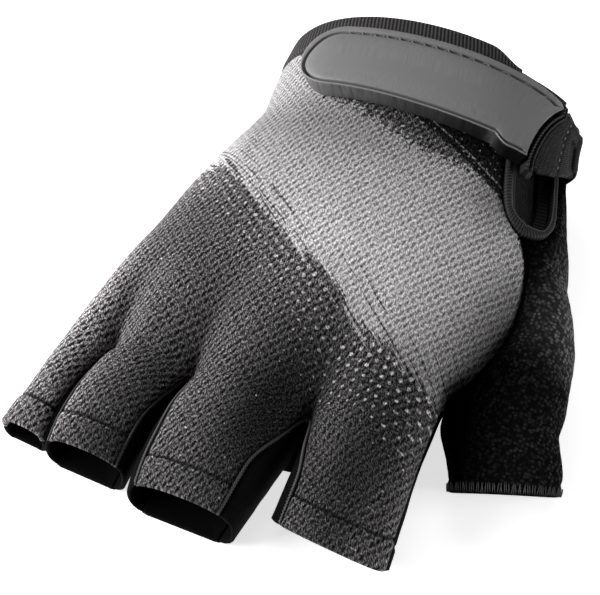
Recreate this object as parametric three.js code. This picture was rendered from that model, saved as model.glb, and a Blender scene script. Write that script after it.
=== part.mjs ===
// A right-hand short-finger sports glove, palm down, as it keeps its worn form on a table.
// Millimetres, +Z up. The fingers point to -Y, the wrist opens to +Y and the thumb is on the +X side.
// The origin is under the middle of the glove, on the table.
//
// The outer surface is drawn first: closed sections of the hand along Y, four finger sections that
// branch off at the finger crotches and a thumb that branches off at the thumb crotch. Each cut piece
// of cloth is then a part of that surface, given its thickness inwards.
import * as THREE from "three";

// Cloth thicknesses
const MESH_CLOTH = 1.4;
const PALM_CLOTH = 1.6;
const THUMB_CLOTH = 1.6;
const GUSSET_CLOTH = 1.2;
const CUFF_BAND = 2.2;
const CUFF_PROUD = 0.6;
const SEAM_GAP = 0.34; // left between two pieces that are sewn together
const GUSSET_GAP = 0.8;
const GUSSET_RELIEF = 0.7; // more gap in the tight fold of a crotch
const THUMB_RELIEF = 0.3;
const RELIEF_REACH = 5;
const TABLE = 0; // cloth that would reach lower than the table lies flat on it

// Where the origin lies in the tables' own coordinates
const ORIGIN = { x: 12.39, y: 6.83 };

// Sections of the hand: its width in x, its crown, the height where it is widest and its underside.
const HAND = [
  { y: 78, left: -35.5, right: 47.4, top: 46.3, mid: 23, bottom: 0.8, crown: 2.05 },
  { y: 64, left: -35, right: 49.6, top: 45.4, mid: 22, bottom: 0.2, crown: 2.1 },
  { y: 50, left: -34, right: 54.8, top: 43.5, mid: 20, bottom: -1.5, crown: 2.15 },
  { y: 35, left: -38.4, right: 60, top: 41.5, mid: 18, bottom: -2.5, crown: 2.25 },
  { y: 20, left: -42, right: 59.5, top: 39, mid: 17, bottom: -2, crown: 2.25 },
  { y: 5, left: -45, right: 57.5, top: 36, mid: 16, bottom: -0.5, crown: 2.25 },
  { y: -8, left: -47.5, right: 53, top: 33.5, mid: 15, bottom: 1.5, crown: 2.25 },
  { y: -16, left: -48.6, right: 47.2, top: 32, mid: 14, bottom: 2.8, crown: 2.25 },
  { y: -25, left: -49.8, right: 46.8, top: 29.8, mid: 13.2, bottom: 3.4, crown: 2.25 },
  { y: -35, left: -51, right: 47.6, top: 27, mid: 12.4, bottom: 3.4, crown: 2.25 },
];
const HAND_UNDERSIDE = 3; // superellipse exponent of the underside; crown is that of the upper side

// Rows of the cloth net along the hand: wrist edge first, finger crotches last
const CUFF_ROWS = [78, 73.2, 68.4];
const HAND_ROWS = [60, 52, 44, 37, 32.6, 30.8, 30, 24, 17, 10, 3, -4, -10, -16, -22, -28.5, -35];
const SLIT_FOOT = 30; // lowest row that the wrist slit reaches
const THUMB_CROTCH = -16;
const FINGER_CROTCH = -35;

// The wrist edge is slanted: it reaches further over the back of the hand than under it.
const WRIST_SLANT = { from: 40, to: 78, perX: 0.05, perZ: 0.13, x: 10, z: 25 };

// Angles round the hand section, 0 at the thumb side and 90 at the crown, of the lines that are sewn:
// the two sides of the wrist slit, which are one line below its foot, and the edge of the palm.
const SIDE_LINES = [
  { y: 78, slitLeft: 55, slitRight: 23, palm: -52 },
  { y: 44, slitLeft: 56, slitRight: 23.5, palm: -54 },
  { y: 37, slitLeft: 56.5, slitRight: 25.5, palm: -54 },
  { y: 32.6, slitLeft: 53.5, slitRight: 30.5, palm: -54 },
  { y: 30.8, slitLeft: 47.5, slitRight: 36.5, palm: -53 },
  { y: 30, slitLeft: 42, slitRight: 42, palm: -53 },
  { y: 24, slitLeft: 33, slitRight: 33, palm: -51 },
  { y: 17, slitLeft: 26, slitRight: 26, palm: -48 },
  { y: 8, slitLeft: 19.5, slitRight: 19.5, palm: -43 },
  { y: 0, slitLeft: 17, slitRight: 17, palm: -36 },
  { y: -6, slitLeft: 14.5, slitRight: 14.5, palm: -27 },
  { y: -12, slitLeft: 8, slitRight: 8, palm: -14 },
  { y: -16, slitLeft: 0, slitRight: 0, palm: 0 },
  { y: -35, slitLeft: 0, slitRight: 0, palm: 0 },
];

// Sections of the thumb, by the row of the hand that they belong to. turn is the section's angle to X,
// from and to are where its outline leaves and meets the hand, own is how far it has left the hand.
const THUMB = [
  {
    row: 44, x: 40.5, y: 44.5, half: 19, top: 40, mid: 18, bottom: -2.5,
    turn: 0, from: 52, to: -90, own: 0,
  },
  {
    row: 24, x: 47.4, y: 23.5, half: 18.9, top: 36, mid: 17, bottom: -2,
    turn: 3, from: 84, to: -108, own: 0.75,
  },
  {
    row: 10, x: 51.4, y: 8.5, half: 18, top: 31.5, mid: 15, bottom: -1.5,
    turn: 8, from: 108, to: -122, own: 1,
  },
  {
    row: -4, x: 55.8, y: -5, half: 16.8, top: 26.5, mid: 13, bottom: -1,
    turn: 12.5, from: 138, to: -145, own: 1,
  },
  {
    row: -16, x: 61.4, y: -14.4, half: 15, top: 21.5, mid: 11, bottom: -0.8,
    turn: 16.5, from: 180, to: -180, own: 1,
  },
  {
    row: -28, x: 68, y: -27, half: 14.5, top: 16, mid: 8, bottom: -0.6,
    turn: 19.5, from: 180, to: -180, own: 1,
  },
  {
    row: -34, x: 70.2, y: -33.4, half: 13.9, top: 13.4, mid: 6.8, bottom: -0.4,
    turn: 20.6, from: 180, to: -180, own: 1,
  },
];
const THUMB_ROWS = [-19.5, -23.5, -27.6, -34];
const THUMB_ROUNDNESS = { above: 2.2, below: 2.8 };
const THUMB_OVERHANG = 9; // how far the thumb's hem reaches past its underside

// Finger sections at the crotch line and at the hem. The edges are the angles over the side where the
// back cloth ends at the hem, and overhang is how far the back's hem reaches past the palm's.
const FINGERS = [
  {
    name: "pinky", hemY: -61.2, overhang: 1.6, skew: -0.1, leftEdge: 180, rightEdge: 18,
    bow: { left: 0, right: -2.4 },
    base: { left: -51, right: -37.6, top: 20.5, mid: 11.4, bottom: 3.4 },
    hem: { left: -56.6, right: -42.2, top: 10.2, mid: 5, bottom: -0.6 },
  },
  {
    name: "ring", hemY: -62.8, overhang: -0.3, skew: -0.06, leftEdge: 28, rightEdge: 42,
    bow: { left: -2.2, right: -1.2 },
    base: { left: -37.2, right: -15.2, top: 25, mid: 12.4, bottom: 3.4 },
    hem: { left: -41.8, right: -19.6, top: 12.2, mid: 6.4, bottom: -0.6 },
  },
  {
    name: "middle", hemY: -67, overhang: -0.3, skew: -0.02, leftEdge: 38, rightEdge: 50,
    bow: { left: -2.6, right: 0 },
    base: { left: -13.8, right: 17.4, top: 27, mid: 12.6, bottom: 3.4 },
    hem: { left: -17.6, right: 12.4, top: 13.8, mid: 6.4, bottom: -0.6 },
  },
  {
    name: "index", hemY: -65, overhang: 9.5, skew: -0.1, leftEdge: 44, rightEdge: 0,
    bow: { left: 0, right: 0 },
    base: { left: 18.6, right: 47.6, top: 26, mid: 12.4, bottom: 3.4 },
    hem: { left: 18.6, right: 50.4, top: 12, mid: 6, bottom: -0.6 },
  },
];
const FINGER_STEPS = [0, 0.1, 0.32, 0.56, 0.76, 1]; // from the crotch line to the hem
const FINGER_ROUNDNESS = { above: 2.5, below: 3 };
const FINGER_EDGE = { crotch: 12, palm: -52 }; // where the gussets meet the back and the palm
const CROTCH_ROUND = 0.14; // share of the finger over which a crotch rounds out

// The height of the point where two fingers part, on the back and on the palm, and how fast the valley
// above it climbs towards the knuckles
const CROTCHES = [
  { top: 14.5, palm: 4.6 },
  { top: 17, palm: 4.6 },
  { top: 16.5, palm: 4.6 },
];
const VALLEY_RISE = { top: 8, palm: 0 };
const KNUCKLES_FROM = 2; // the y from which the hand's section turns into four finger backs
const KNUCKLE_RISE = 1.7;
const KNUCKLE_SLOPE = 0.6; // share of a finger's own taper that carries on above its crotch line

const EDGE_CLIMB = 0.7; // share of the finger over which its back cloth's edge climbs from the crotch

const CELLS = 6; // cells of the net across one finger
const SIDE_CELLS = 14; // cells of the net round the thumb
const GUSSET_CELLS = 3;
const FINE = 240; // steps in which a section's length is measured
const HALVINGS = 40; // of the search for a place on a section
const GRID_PER_MM = 500; // points closer than one step of this grid are one point of the net

const radians = (degrees) => (degrees * Math.PI) / 180;
const mix = (a, b, t) => a + (b - a) * t;
const clamp01 = (t) => Math.min(1, Math.max(0, t));
const ease = (t) => {
  const c = clamp01(t);
  return c * c * (3 - 2 * c);
};
const mixPoint = (a, b, t) => a.clone().lerp(b, t);

// A smooth curve through a table's column, read by another column that runs down the table.
function column(table, by, name) {
  const knots = [...table].sort((a, b) => a[by] - b[by]);
  const slope = (i, j) => (knots[j][name] - knots[i][name]) / (knots[j][by] - knots[i][by]);
  const last = knots.length - 1;
  const tangents = knots.map((_, i) => slope(Math.max(0, i - 1), Math.min(last, i + 1)));
  return (at) => {
    let i = knots.findIndex((k) => k[by] >= at);
    if (i < 0) return knots[last][name];
    if (i === 0) return knots[0][name];
    const a = knots[i - 1];
    const b = knots[i];
    const span = b[by] - a[by];
    const t = (at - a[by]) / span;
    const s = 1 - t;
    return (
      s * s * (1 + 2 * t) * a[name] + t * t * (3 - 2 * t) * b[name] +
      t * s * (s * tangents[i - 1] - t * tangents[i]) * span
    );
  };
}

function columns(table, by) {
  const names = Object.keys(table[0]).filter((n) => n !== by);
  const curves = names.map((n) => [n, column(table, by, n)]);
  return (at) => Object.fromEntries(curves.map(([n, curve]) => [n, curve(at)]));
}

// A table row at a place between two rows of straight-line columns
function straight(table, by, name, at) {
  const knots = [...table].sort((a, b) => a[by] - b[by]);
  const i = knots.findIndex((k) => k[by] >= at);
  if (i < 0) return knots[knots.length - 1][name];
  if (i === 0) return knots[0][name];
  const a = knots[i - 1];
  const b = knots[i];
  return mix(a[name], b[name], (at - a[by]) / (b[by] - a[by]));
}

// A point of a superelliptic section, by its angle from the thumb side.
function sectionPoint(section, roundness, angle) {
  const c = Math.cos(radians(angle));
  const s = Math.sin(radians(angle));
  const power = 2 / (s >= 0 ? roundness.above : roundness.below);
  const centre = (section.left + section.right) / 2;
  const half = (section.right - section.left) / 2;
  const height = s >= 0 ? section.top - section.mid : section.mid - section.bottom;
  return {
    x: centre + half * Math.sign(c) * Math.abs(c) ** power,
    z: Math.max(TABLE, section.mid + height * Math.sign(s) * Math.abs(s) ** power),
  };
}

const handAt = columns(HAND, "y");
const thumbAt = columns(THUMB, "row");

// A point of the hand's outside, by its row and its angle. Rows near the wrist are slanted.
function handPoint(row, angle) {
  const section = handAt(row);
  const { x, z } = sectionPoint(section, { above: section.crown, below: HAND_UNDERSIDE }, angle);
  const w = WRIST_SLANT;
  const share = ease((row - w.from) / (w.to - w.from));
  return new THREE.Vector3(x, row + share * (w.perX * (x - w.x) + w.perZ * (z - w.z)), z);
}

function handNormal(row, angle) {
  const along = handPoint(row + 0.5, angle).sub(handPoint(row - 0.5, angle));
  const around = handPoint(row, angle + 0.5).sub(handPoint(row, angle - 0.5));
  return around.cross(along).normalize().negate();
}

// Angles from one to another that cut the hand's section into steps of equal length.
function evenAngles(pointAt, from, to, fractions) {
  const lengths = [0];
  let before = pointAt(from);
  for (let i = 1; i <= FINE; i++) {
    const here = pointAt(mix(from, to, i / FINE));
    lengths.push(lengths[i - 1] + here.distanceTo(before));
    before = here;
  }
  return fractions.map((f) => {
    const wanted = f * lengths[FINE];
    let i = lengths.findIndex((l) => l >= wanted);
    if (i <= 0) return from;
    const t = (wanted - lengths[i - 1]) / (lengths[i] - lengths[i - 1]);
    return mix(from, to, (i - 1 + t) / FINE);
  });
}

const steps = (n) => Array.from({ length: n + 1 }, (_, i) => i / n);

// The share of the way round at which the section reaches a given x
function shareAtX(pointAt, from, to, x) {
  const rising = pointAt(to).x > pointAt(from).x;
  let low = 0;
  let high = 1;
  for (let i = 0; i < HALVINGS; i++) {
    const middle = (low + high) / 2;
    const [angle] = evenAngles(pointAt, from, to, [middle]);
    if (pointAt(angle).x > x === rising) high = middle;
    else low = middle;
  }
  return (low + high) / 2;
}

// Fingers. t runs from 0 at the crotch line to 1 at the hem.
// Halfway down a finger, its two edges bow out of their straight lines
function fingerSection(finger, t) {
  const { base, hem, bow } = finger;
  const section = Object.fromEntries(Object.keys(base).map((k) => [k, mix(base[k], hem[k], t)]));
  const bend = 4 * Math.max(0, t) * (1 - t);
  section.left += bow.left * bend;
  section.right += bow.right * bend;
  return section;
}

function fingerPoint(finger, t, angle) {
  const section = fingerSection(finger, t);
  const { x, z } = sectionPoint(section, FINGER_ROUNDNESS, angle);
  const centre = (section.left + section.right) / 2;
  const under = 1 - clamp01((z - TABLE) / (section.top - TABLE));
  const y = mix(FINGER_CROTCH, finger.hemY, t) + t * finger.skew * (x - centre);
  return new THREE.Vector3(x, y + Math.max(0, t) ** 2 * under * finger.overhang, z);
}

// How far a finger's edge is still drawn to the crotch point
const crotchPull = (t) => 1 - Math.sqrt(clamp01(t / CROTCH_ROUND));

// The angle where a finger's back cloth ends. Its edge climbs from the crotch towards the hem.
function topEdge(finger, side, t) {
  const hem = side === "left" ? finger.leftEdge : finger.rightEdge;
  if (hem === 0) return 0;
  if (hem === 180) return 180;
  const angle = mix(FINGER_EDGE.crotch, hem, ease(t / EDGE_CLIMB));
  return side === "left" ? 180 - angle : angle;
}

// A finger's back or palm cloth at t: points from its left edge to its right edge.
function fingerRow(f, side, t) {
  const finger = FINGERS[f];
  const above = side === "top";
  const leftAngle = above ? topEdge(finger, "left", t) : f === 0 ? -180 : -180 - FINGER_EDGE.palm;
  const rightAngle = above ? topEdge(finger, "right", t) : f === FINGERS.length - 1 ? 0 : FINGER_EDGE.palm;
  const pointAt = (angle) => fingerPoint(finger, t, angle);
  const angles = evenAngles(pointAt, leftAngle, rightAngle, steps(CELLS));
  const points = angles.map(pointAt);
  const pull = crotchPull(t);
  const ends = [
    f > 0 && crotchPoint(f - 1, side, t),
    f < FINGERS.length - 1 && crotchPoint(f, side, t),
  ];
  const shifts = ends.map((end, i) => {
    const shift = new THREE.Vector3();
    return end ? shift.subVectors(end, points[i * CELLS]).multiplyScalar(pull) : shift;
  });
  return points.map((p, i) => {
    const s = i / CELLS;
    return p.clone().addScaledVector(shifts[0], (1 - s) ** 2).addScaledVector(shifts[1], s ** 2);
  });
}

// Where two fingers part, or the valley above that place for a t below 0
function crotchPoint(i, side, t = 0) {
  const above = Math.min(0, t);
  const x = (fingerSection(FINGERS[i], above).right + fingerSection(FINGERS[i + 1], above).left) / 2;
  return new THREE.Vector3(x, FINGER_CROTCH, CROTCHES[i][side] - above * VALLEY_RISE[side]);
}

// One row of the hand's back or palm: 4 fingers' worth of cells from the pinky side to the thumb side.
function handRow(row, side) {
  const above = side === "top";
  const end = above
    ? straight(SIDE_LINES, "y", "slitLeft", row)
    : straight(SIDE_LINES, "y", "palm", row);
  const start = above ? 180 : -180;
  const pointAt = (angle) => handPoint(row, angle);
  const down = ease((CUFF_ROWS[0] - row) / (CUFF_ROWS[0] - FINGER_CROTCH));
  const between = CROTCHES.map((_, i) => {
    const atCrotch = shareAtX(pointAt, start, end, crotchPoint(i, side).x);
    return mix((i + 1) / FINGERS.length, atCrotch, down);
  });
  const cuts = [0, ...between, 1];
  const fractions = [];
  for (let f = 0; f < FINGERS.length; f++)
    for (let i = f ? 1 : 0; i <= CELLS; i++) fractions.push(mix(cuts[f], cuts[f + 1], i / CELLS));
  const plain = evenAngles(pointAt, start, end, fractions).map(pointAt);
  const split = clamp01((KNUCKLES_FROM - row) / (KNUCKLES_FROM - FINGER_CROTCH)) ** KNUCKLE_RISE;
  if (split === 0) return plain;
  const parted = [];
  FINGERS.forEach((finger, f) => {
    const t = (KNUCKLE_SLOPE * (FINGER_CROTCH - row)) / (FINGER_CROTCH - finger.hemY);
    parted.push(...fingerRow(f, side, t).slice(f ? 1 : 0));
  });
  return plain.map((p, i) => {
    const q = parted[i].clone();
    q.y = p.y;
    return p.lerp(q, split);
  });
}

// The thumb side of one row: from the slit's thumb side, round the thumb, to the edge of the palm.
function thumbSectionPoint(row, angle) {
  const t = thumbAt(row);
  const section = { left: -t.half, right: t.half, top: t.top, mid: t.mid, bottom: t.bottom };
  const { x, z } = sectionPoint(section, THUMB_ROUNDNESS, angle);
  const turn = radians(t.turn);
  const under = 1 - clamp01((z - TABLE) / (t.top - TABLE));
  const tip = THUMB_ROWS[THUMB_ROWS.length - 1];
  const overhang = THUMB_OVERHANG * under * ease((THUMB_CROTCH - row) / (THUMB_CROTCH - tip));
  return new THREE.Vector3(
    t.x + x * Math.cos(turn) - overhang * Math.sin(turn),
    t.y + x * Math.sin(turn) + overhang * Math.cos(turn),
    z,
  );
}

// Below the slit it starts at the end of the back's row, and it always stops at the end of the palm's row.
function thumbRow(row, backEnd, palmEnd) {
  const thumb = thumbAt(row);
  const ringPoint = (angle) => thumbSectionPoint(row, angle);
  if (row < THUMB_CROTCH) {
    const angles = evenAngles(ringPoint, 180, -180, steps(SIDE_CELLS));
    const ring = angles.map(ringPoint);
    ring[SIDE_CELLS] = ring[0];
    return ring;
  }
  const from = straight(SIDE_LINES, "y", "slitRight", row);
  const to = straight(SIDE_LINES, "y", "palm", row);
  const onHand = (angle) => handPoint(row, angle);
  const hand = evenAngles(onHand, from, to, steps(SIDE_CELLS)).map(onHand);
  if (row >= THUMB[0].row) return hand;
  const start = row > SLIT_FOOT ? hand[0] : backEnd;
  const ring = evenAngles(ringPoint, thumb.from, thumb.to, steps(SIDE_CELLS)).map(ringPoint);
  const first = start.clone().sub(ring[0]);
  const last = palmEnd.clone().sub(ring[SIDE_CELLS]);
  const own = clamp01(thumb.own);
  return ring.map((p, i) => {
    const s = i / SIDE_CELLS;
    const drawn = p.clone().addScaledVector(first, (1 - s) ** 3).addScaledVector(last, s ** 3);
    const base = row === THUMB_CROTCH ? drawn : hand[i];
    return mixPoint(base, drawn, own);
  });
}

// The net of the whole outside, as quads that each belong to one cut piece of cloth.
const net = { points: [], faces: [], keys: new Map() };

function pointId(p) {
  const key = [p.x, p.y, p.z].map((v) => Math.round(v * GRID_PER_MM)).join(",");
  if (!net.keys.has(key)) {
    net.keys.set(key, net.points.length);
    net.points.push(p);
  }
  return net.keys.get(key);
}

function addStrip(piece, rowA, rowB, flip) {
  for (let i = 0; i + 1 < rowA.length; i++) {
    const corners = [rowA[i], rowA[i + 1], rowB[i + 1], rowB[i]].map(pointId);
    const used = corners.filter((c, k) => c !== corners[(k + 1) % 4]);
    if (used.length >= 3) net.faces.push({ piece, corners: flip ? used.reverse() : used });
  }
}

const allRows = [...CUFF_ROWS, ...HAND_ROWS];
const backRows = allRows.map((y) => handRow(y, "top"));
const palmRows = allRows.map((y) => handRow(y, "palm"));
const lastOf = (row) => row[row.length - 1];
const sideRows = allRows.map((y, i) => (
  y >= THUMB_CROTCH ? thumbRow(y, lastOf(backRows[i]), lastOf(palmRows[i])) : null
));
allRows.slice(1).forEach((y, i) => {
  const cuff = i + 1 < CUFF_ROWS.length;
  addStrip(cuff ? "wrist_cuff" : "back_panel", backRows[i], backRows[i + 1], true);
  addStrip(cuff ? "wrist_cuff" : "palm_panel", palmRows[i], palmRows[i + 1], false);
  if (y >= THUMB_CROTCH) addStrip(cuff ? "wrist_cuff" : "thumb_panel", sideRows[i], sideRows[i + 1], true);
});
const crotchRow = sideRows[allRows.indexOf(THUMB_CROTCH)];
[crotchRow, ...THUMB_ROWS.map((y) => thumbRow(y))].forEach((ring, i, rings) => {
  if (i) addStrip("thumb_panel", rings[i - 1], ring, true);
});

const gussetName = (i) => `gusset_${FINGERS[i].name}_${FINGERS[i + 1].name}`;
FINGERS.forEach((finger, f) => {
  const tops = FINGER_STEPS.map((t) => fingerRow(f, "top", t));
  const palms = FINGER_STEPS.map((t) => fingerRow(f, "palm", t));
  FINGER_STEPS.slice(1).forEach((_, i) => {
    addStrip("back_panel", tops[i], tops[i + 1], true);
    addStrip("palm_panel", palms[i], palms[i + 1], false);
    const wall = (k, side) => {
      const t = FINGER_STEPS[k];
      const sideAngles = side > 0
        ? [topEdge(finger, "right", t), FINGER_EDGE.palm]
        : [topEdge(finger, "left", t), 180 - FINGER_EDGE.palm];
      const end = side > 0 ? CELLS : 0;
      const from = tops[k][end];
      const to = palms[k][end];
      const pointAt = (angle) => fingerPoint(finger, t, angle);
      const pull = crotchPull(t);
      return evenAngles(pointAt, ...sideAngles, steps(GUSSET_CELLS)).map((angle, j) => {
        const s = j / GUSSET_CELLS;
        if (s === 0) return from;
        if (s === 1) return to;
        return mixPoint(pointAt(angle), mixPoint(from, to, s), pull);
      });
    };
    if (f < CROTCHES.length) addStrip(gussetName(f), wall(i, 1), wall(i + 1, 1), true);
    if (f > 0) addStrip(gussetName(f - 1), wall(i, -1), wall(i + 1, -1), false);
  });
});

// Normals of the whole net, so that two pieces that are sewn together meet on one mitre.
const normals = net.points.map(() => new THREE.Vector3());
for (const { corners } of net.faces) {
  const n = new THREE.Vector3();
  corners.forEach((c, k) => {
    const next = corners[(k + 1) % corners.length];
    n.add(net.points[c].clone().cross(net.points[next]));
  });
  corners.forEach((c) => normals[c].add(n));
}
normals.forEach((n) => n.normalize());

function meshOf(points, index) {
  const geometry = new THREE.BufferGeometry();
  const flat = new Float32Array(points.flatMap((p) => [p.x, p.y, p.z]));
  geometry.setAttribute("position", new THREE.BufferAttribute(flat, 3));
  geometry.setIndex(index);
  return geometry;
}

// A closed body between two copies of an open sheet of quads.
function slab(outer, inner, faces) {
  const index = [];
  const count = outer.length;
  const fan = (ids) => {
    for (let k = 1; k + 1 < ids.length; k++) index.push(ids[0], ids[k], ids[k + 1]);
  };
  const used = new Set();
  faces.forEach((f) => f.forEach((c, k) => used.add(`${c},${f[(k + 1) % f.length]}`)));
  for (const f of faces) {
    // Both skins are split along the same diagonal
    fan(f);
    for (let k = 1; k + 1 < f.length; k++) index.push(f[0] + count, f[k + 1] + count, f[k] + count);
    f.forEach((a, k) => {
      const b = f[(k + 1) % f.length];
      if (!used.has(`${b},${a}`)) index.push(a, a + count, b + count, a, b + count, b);
    });
  }
  return meshOf([...outer, ...inner], index);
}

// 1 at a crotch, 0 away from it
function crotchRelief(p) {
  const spots = CROTCHES.map((_, i) => [crotchPoint(i, "top").x, FINGER_CROTCH]);
  spots.push([handPoint(THUMB_CROTCH, 0).x, THUMB_CROTCH]);
  const nearest = Math.min(...spots.map(([x, y]) => Math.hypot(p.x - x, p.y - y)));
  return clamp01(1 - nearest / RELIEF_REACH);
}

// One cut piece of the net, drawn back from its seams and given its thickness.
function clothPiece(name, thickness, { proud = 0, gap = SEAM_GAP, relief = 0 } = {}) {
  const faces = net.faces.filter((f) => f.piece === name).map((f) => f.corners);
  const ids = [...new Set(faces.flat())];
  const place = new Map(ids.map((id, i) => [id, i]));
  const edges = new Set();
  faces.forEach((f) => f.forEach((c, k) => edges.add(`${c},${f[(k + 1) % f.length]}`)));
  const rim = new Set();
  const neighbours = new Map(ids.map((id) => [id, new Set()]));
  const rimNeighbours = new Map(ids.map((id) => [id, new Set()]));
  faces.forEach((f) =>
    f.forEach((a, k) => {
      const b = f[(k + 1) % f.length];
      neighbours.get(a).add(b);
      neighbours.get(b).add(a);
      if (!edges.has(`${b},${a}`)) {
        rim.add(a).add(b);
        rimNeighbours.get(a).add(b);
        rimNeighbours.get(b).add(a);
      }
    }),
  );
  const moved = ids.map((id) => {
    const p = net.points[id].clone();
    if (!rim.has(id)) return p;
    const inside = [...neighbours.get(id)].filter((n) => !rimNeighbours.get(id).has(n));
    if (!inside.length) return p;
    const pull = new THREE.Vector3();
    inside.forEach((n) => pull.add(net.points[n].clone().sub(p).normalize()));
    const along = [...rimNeighbours.get(id)].map((n) => net.points[n]);
    if (along.length === 2) {
      const run = along[1].clone().sub(along[0]).normalize();
      pull.addScaledVector(run, -pull.dot(run));
    }
    return p.addScaledVector(pull.normalize(), gap / 2 + crotchRelief(p) * relief);
  });
  const level = (offset) => moved.map((p, i) => {
    const q = p.clone().addScaledVector(normals[ids[i]], offset);
    q.z = Math.max(TABLE, q.z);
    return q;
  });
  const local = faces.map((f) => f.map((c) => place.get(c)));
  return slab(level(proud), level(proud - thickness), local);
}

// A sheet that lies on the hand, from rows of (row, angle, height over the cloth).
function overlay(rows, thickness) {
  const outer = [];
  const inner = [];
  const faces = [];
  rows.forEach((row, r) =>
    row.forEach(({ row: y, angle, height }, c) => {
      const p = handPoint(y, angle);
      const n = handNormal(y, angle);
      outer.push(p.clone().addScaledVector(n, height));
      inner.push(p.clone().addScaledVector(n, height - thickness));
      const w = row.length;
      if (r && c) faces.push([r * w + c, (r - 1) * w + c, (r - 1) * w + c - 1, r * w + c - 1]);
    }),
  );
  return slab(outer, inner, faces);
}

// The tape that binds the wrist slit: down its left side, round its foot and up its thumb side.
const BINDING = {
  proud: 0.6,
  crown: 0.2,
  thickness: 2.2,
  width: 4.6, // degrees round the wrist
  gapAngle: 0.5, // between the cloth's edge and the tape
  gapRow: 0.35, // the same gap at the slit's foot
  footWidth: 3.1, // in rows, at the slit's foot
  footReach: 6, // rows over which the foot begins
  footNarrowing: 0.45, // share of its width round the wrist that it loses there
};
const BINDING_ROWS = [78, 66, 55, 46, 40, 36, 33.4, 31.6];

function slitBinding() {
  const path = [
    ...BINDING_ROWS.map((y) => ({ y, side: "slitLeft", turn: 1 })),
    { y: SLIT_FOOT, side: "slitLeft", turn: 0 },
    ...[...BINDING_ROWS].reverse().map((y) => ({ y, side: "slitRight", turn: -1 })),
  ];
  const rows = path.map(({ y, side, turn }) => {
    const edge = straight(SIDE_LINES, "y", side, y);
    const nearFoot = clamp01(1 - (y - SLIT_FOOT) / BINDING.footReach);
    const outerAngle = edge - turn * BINDING.gapAngle;
    const innerAngle = edge - turn * BINDING.width * (1 - BINDING.footNarrowing * nearFoot);
    const outerRow = y + BINDING.gapRow * nearFoot;
    const innerRow = y + BINDING.footWidth * nearFoot;
    return [0, 0.5, 1].map((s) => ({
      row: mix(outerRow, innerRow, s),
      angle: mix(outerAngle, innerAngle, s),
      height: BINDING.proud + (s === 0.5 ? BINDING.crown : 0),
    }));
  });
  return overlay(rows, BINDING.thickness);
}

// The closure strap: a moulded tab on the back of the wrist, sewn to a knitted strap that comes round
// from the thumb side, over the slit.
const STRAP = {
  overSlit: 1.1, // over the cloth, so that it passes over the slit's binding
  overCuff: 0.95,
  cuffReach: 2, // rows before the cuff over which it already lies that high
  sewnDown: 0.35, // over the cloth of the thumb side, where it is sewn on
  sewnRun: 3, // degrees over which it comes down to it
  thickness: 1.8,
  to: 15, // angle where it is sewn down on the thumb side
};
// Row of the strap's middle line along the tab, by the angle round the wrist
const STRAP_LINE = [
  { angle: 0, row: 62.5 },
  { angle: 50, row: 59 },
  { angle: 75, row: 58.6 },
  { angle: 140, row: 58 },
];
// Rows of the knitted strap's two edges: near is the side of the fingers, far is the wrist edge
const STRAP_EDGES = [
  { angle: 15, near: 58, far: 71 },
  { angle: 20, near: 56, far: 71 },
  { angle: 30, near: 52, far: 71 },
  { angle: 40, near: 48.8, far: 71 },
  { angle: 50, near: 47.4, far: 71 },
];
const strapRow = (angle) => straight(STRAP_LINE, "angle", "row", angle);
const strapEdge = (side, angle) => straight(STRAP_EDGES, "angle", side, angle);

// The tab's sewn end is slanted: from its near corner it leans more and more towards the thumb.
const TAB_END = { angle: 49.5, nearRow: 47.2, farRow: 67.3, lean: 15, curve: 1.6 };
function endLean(row) {
  const share = clamp01((row - TAB_END.nearRow) / (TAB_END.farRow - TAB_END.nearRow));
  return TAB_END.lean * share ** TAB_END.curve;
}

const TAB = {
  tipAngle: 134.5, // angle of its round end
  tipRadius: 9.6,
  base: 1.3, // underside over the cloth
  wall: 5.4, // top edge over the base
  crown: 6,
  chamfer: 0.5,
  rim: 1.5, // flat edge outside the groove
  groove: 1.1,
  grooveDepth: 1.1,
  grooveFlank: 0.15,
  crownInset: 5.6, // from the edge to where the top is nearly at its crown
  crownFall: 0.1,
  endInset: 0.15, // share of each inset that is left at the sewn end, where the top has no groove
  spineStart: 3.2, // where its middle line starts, from the sewn end
  leanRun: 16, // length over which the lean of its end dies out
};
// The tab's half widths by the length from its sewn end. It narrows at its shoulders, and then evenly
// to its round tip.
const TAB_SIDES = [
  { length: 0.6, near: 11.8, far: 8.3 },
  { length: 1.5, near: 11.9, far: 9.6 },
  { length: 3.5, near: 11.9, far: 10.2 },
  { length: 6.3, near: 11.9, far: 10.4 },
  { length: 8.9, near: 10, far: 10 },
];
const TAB_STOPS = 7; // from the shoulders to the tip's arc
const TAB_ARC = 14;
const TAB_END_STOPS = 7;

// Lengths along the strap's middle line, from the tab's sewn end towards its round end
const strapAngle = (() => {
  const onHand = (angle) => handPoint(strapRow(angle), angle);
  const table = [{ length: 0, angle: TAB_END.angle }];
  for (let i = 1; i <= FINE; i++) {
    const angle = mix(TAB_END.angle, 180, i / FINE);
    const step = onHand(angle).distanceTo(onHand(table[i - 1].angle));
    table.push({ length: table[i - 1].length + step, angle });
  }
  return {
    at: (length) => straight(table, "length", "angle", length),
    lengthTo: (angle) => straight(table, "angle", "length", angle),
  };
})();

function tabPoint(length, across, height) {
  const square = strapAngle.at(length);
  const row = strapRow(square) + across;
  const angle = square - endLean(row) * (1 - ease(length / TAB.leanRun));
  return handPoint(row, angle).addScaledVector(handNormal(row, angle), height);
}

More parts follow.
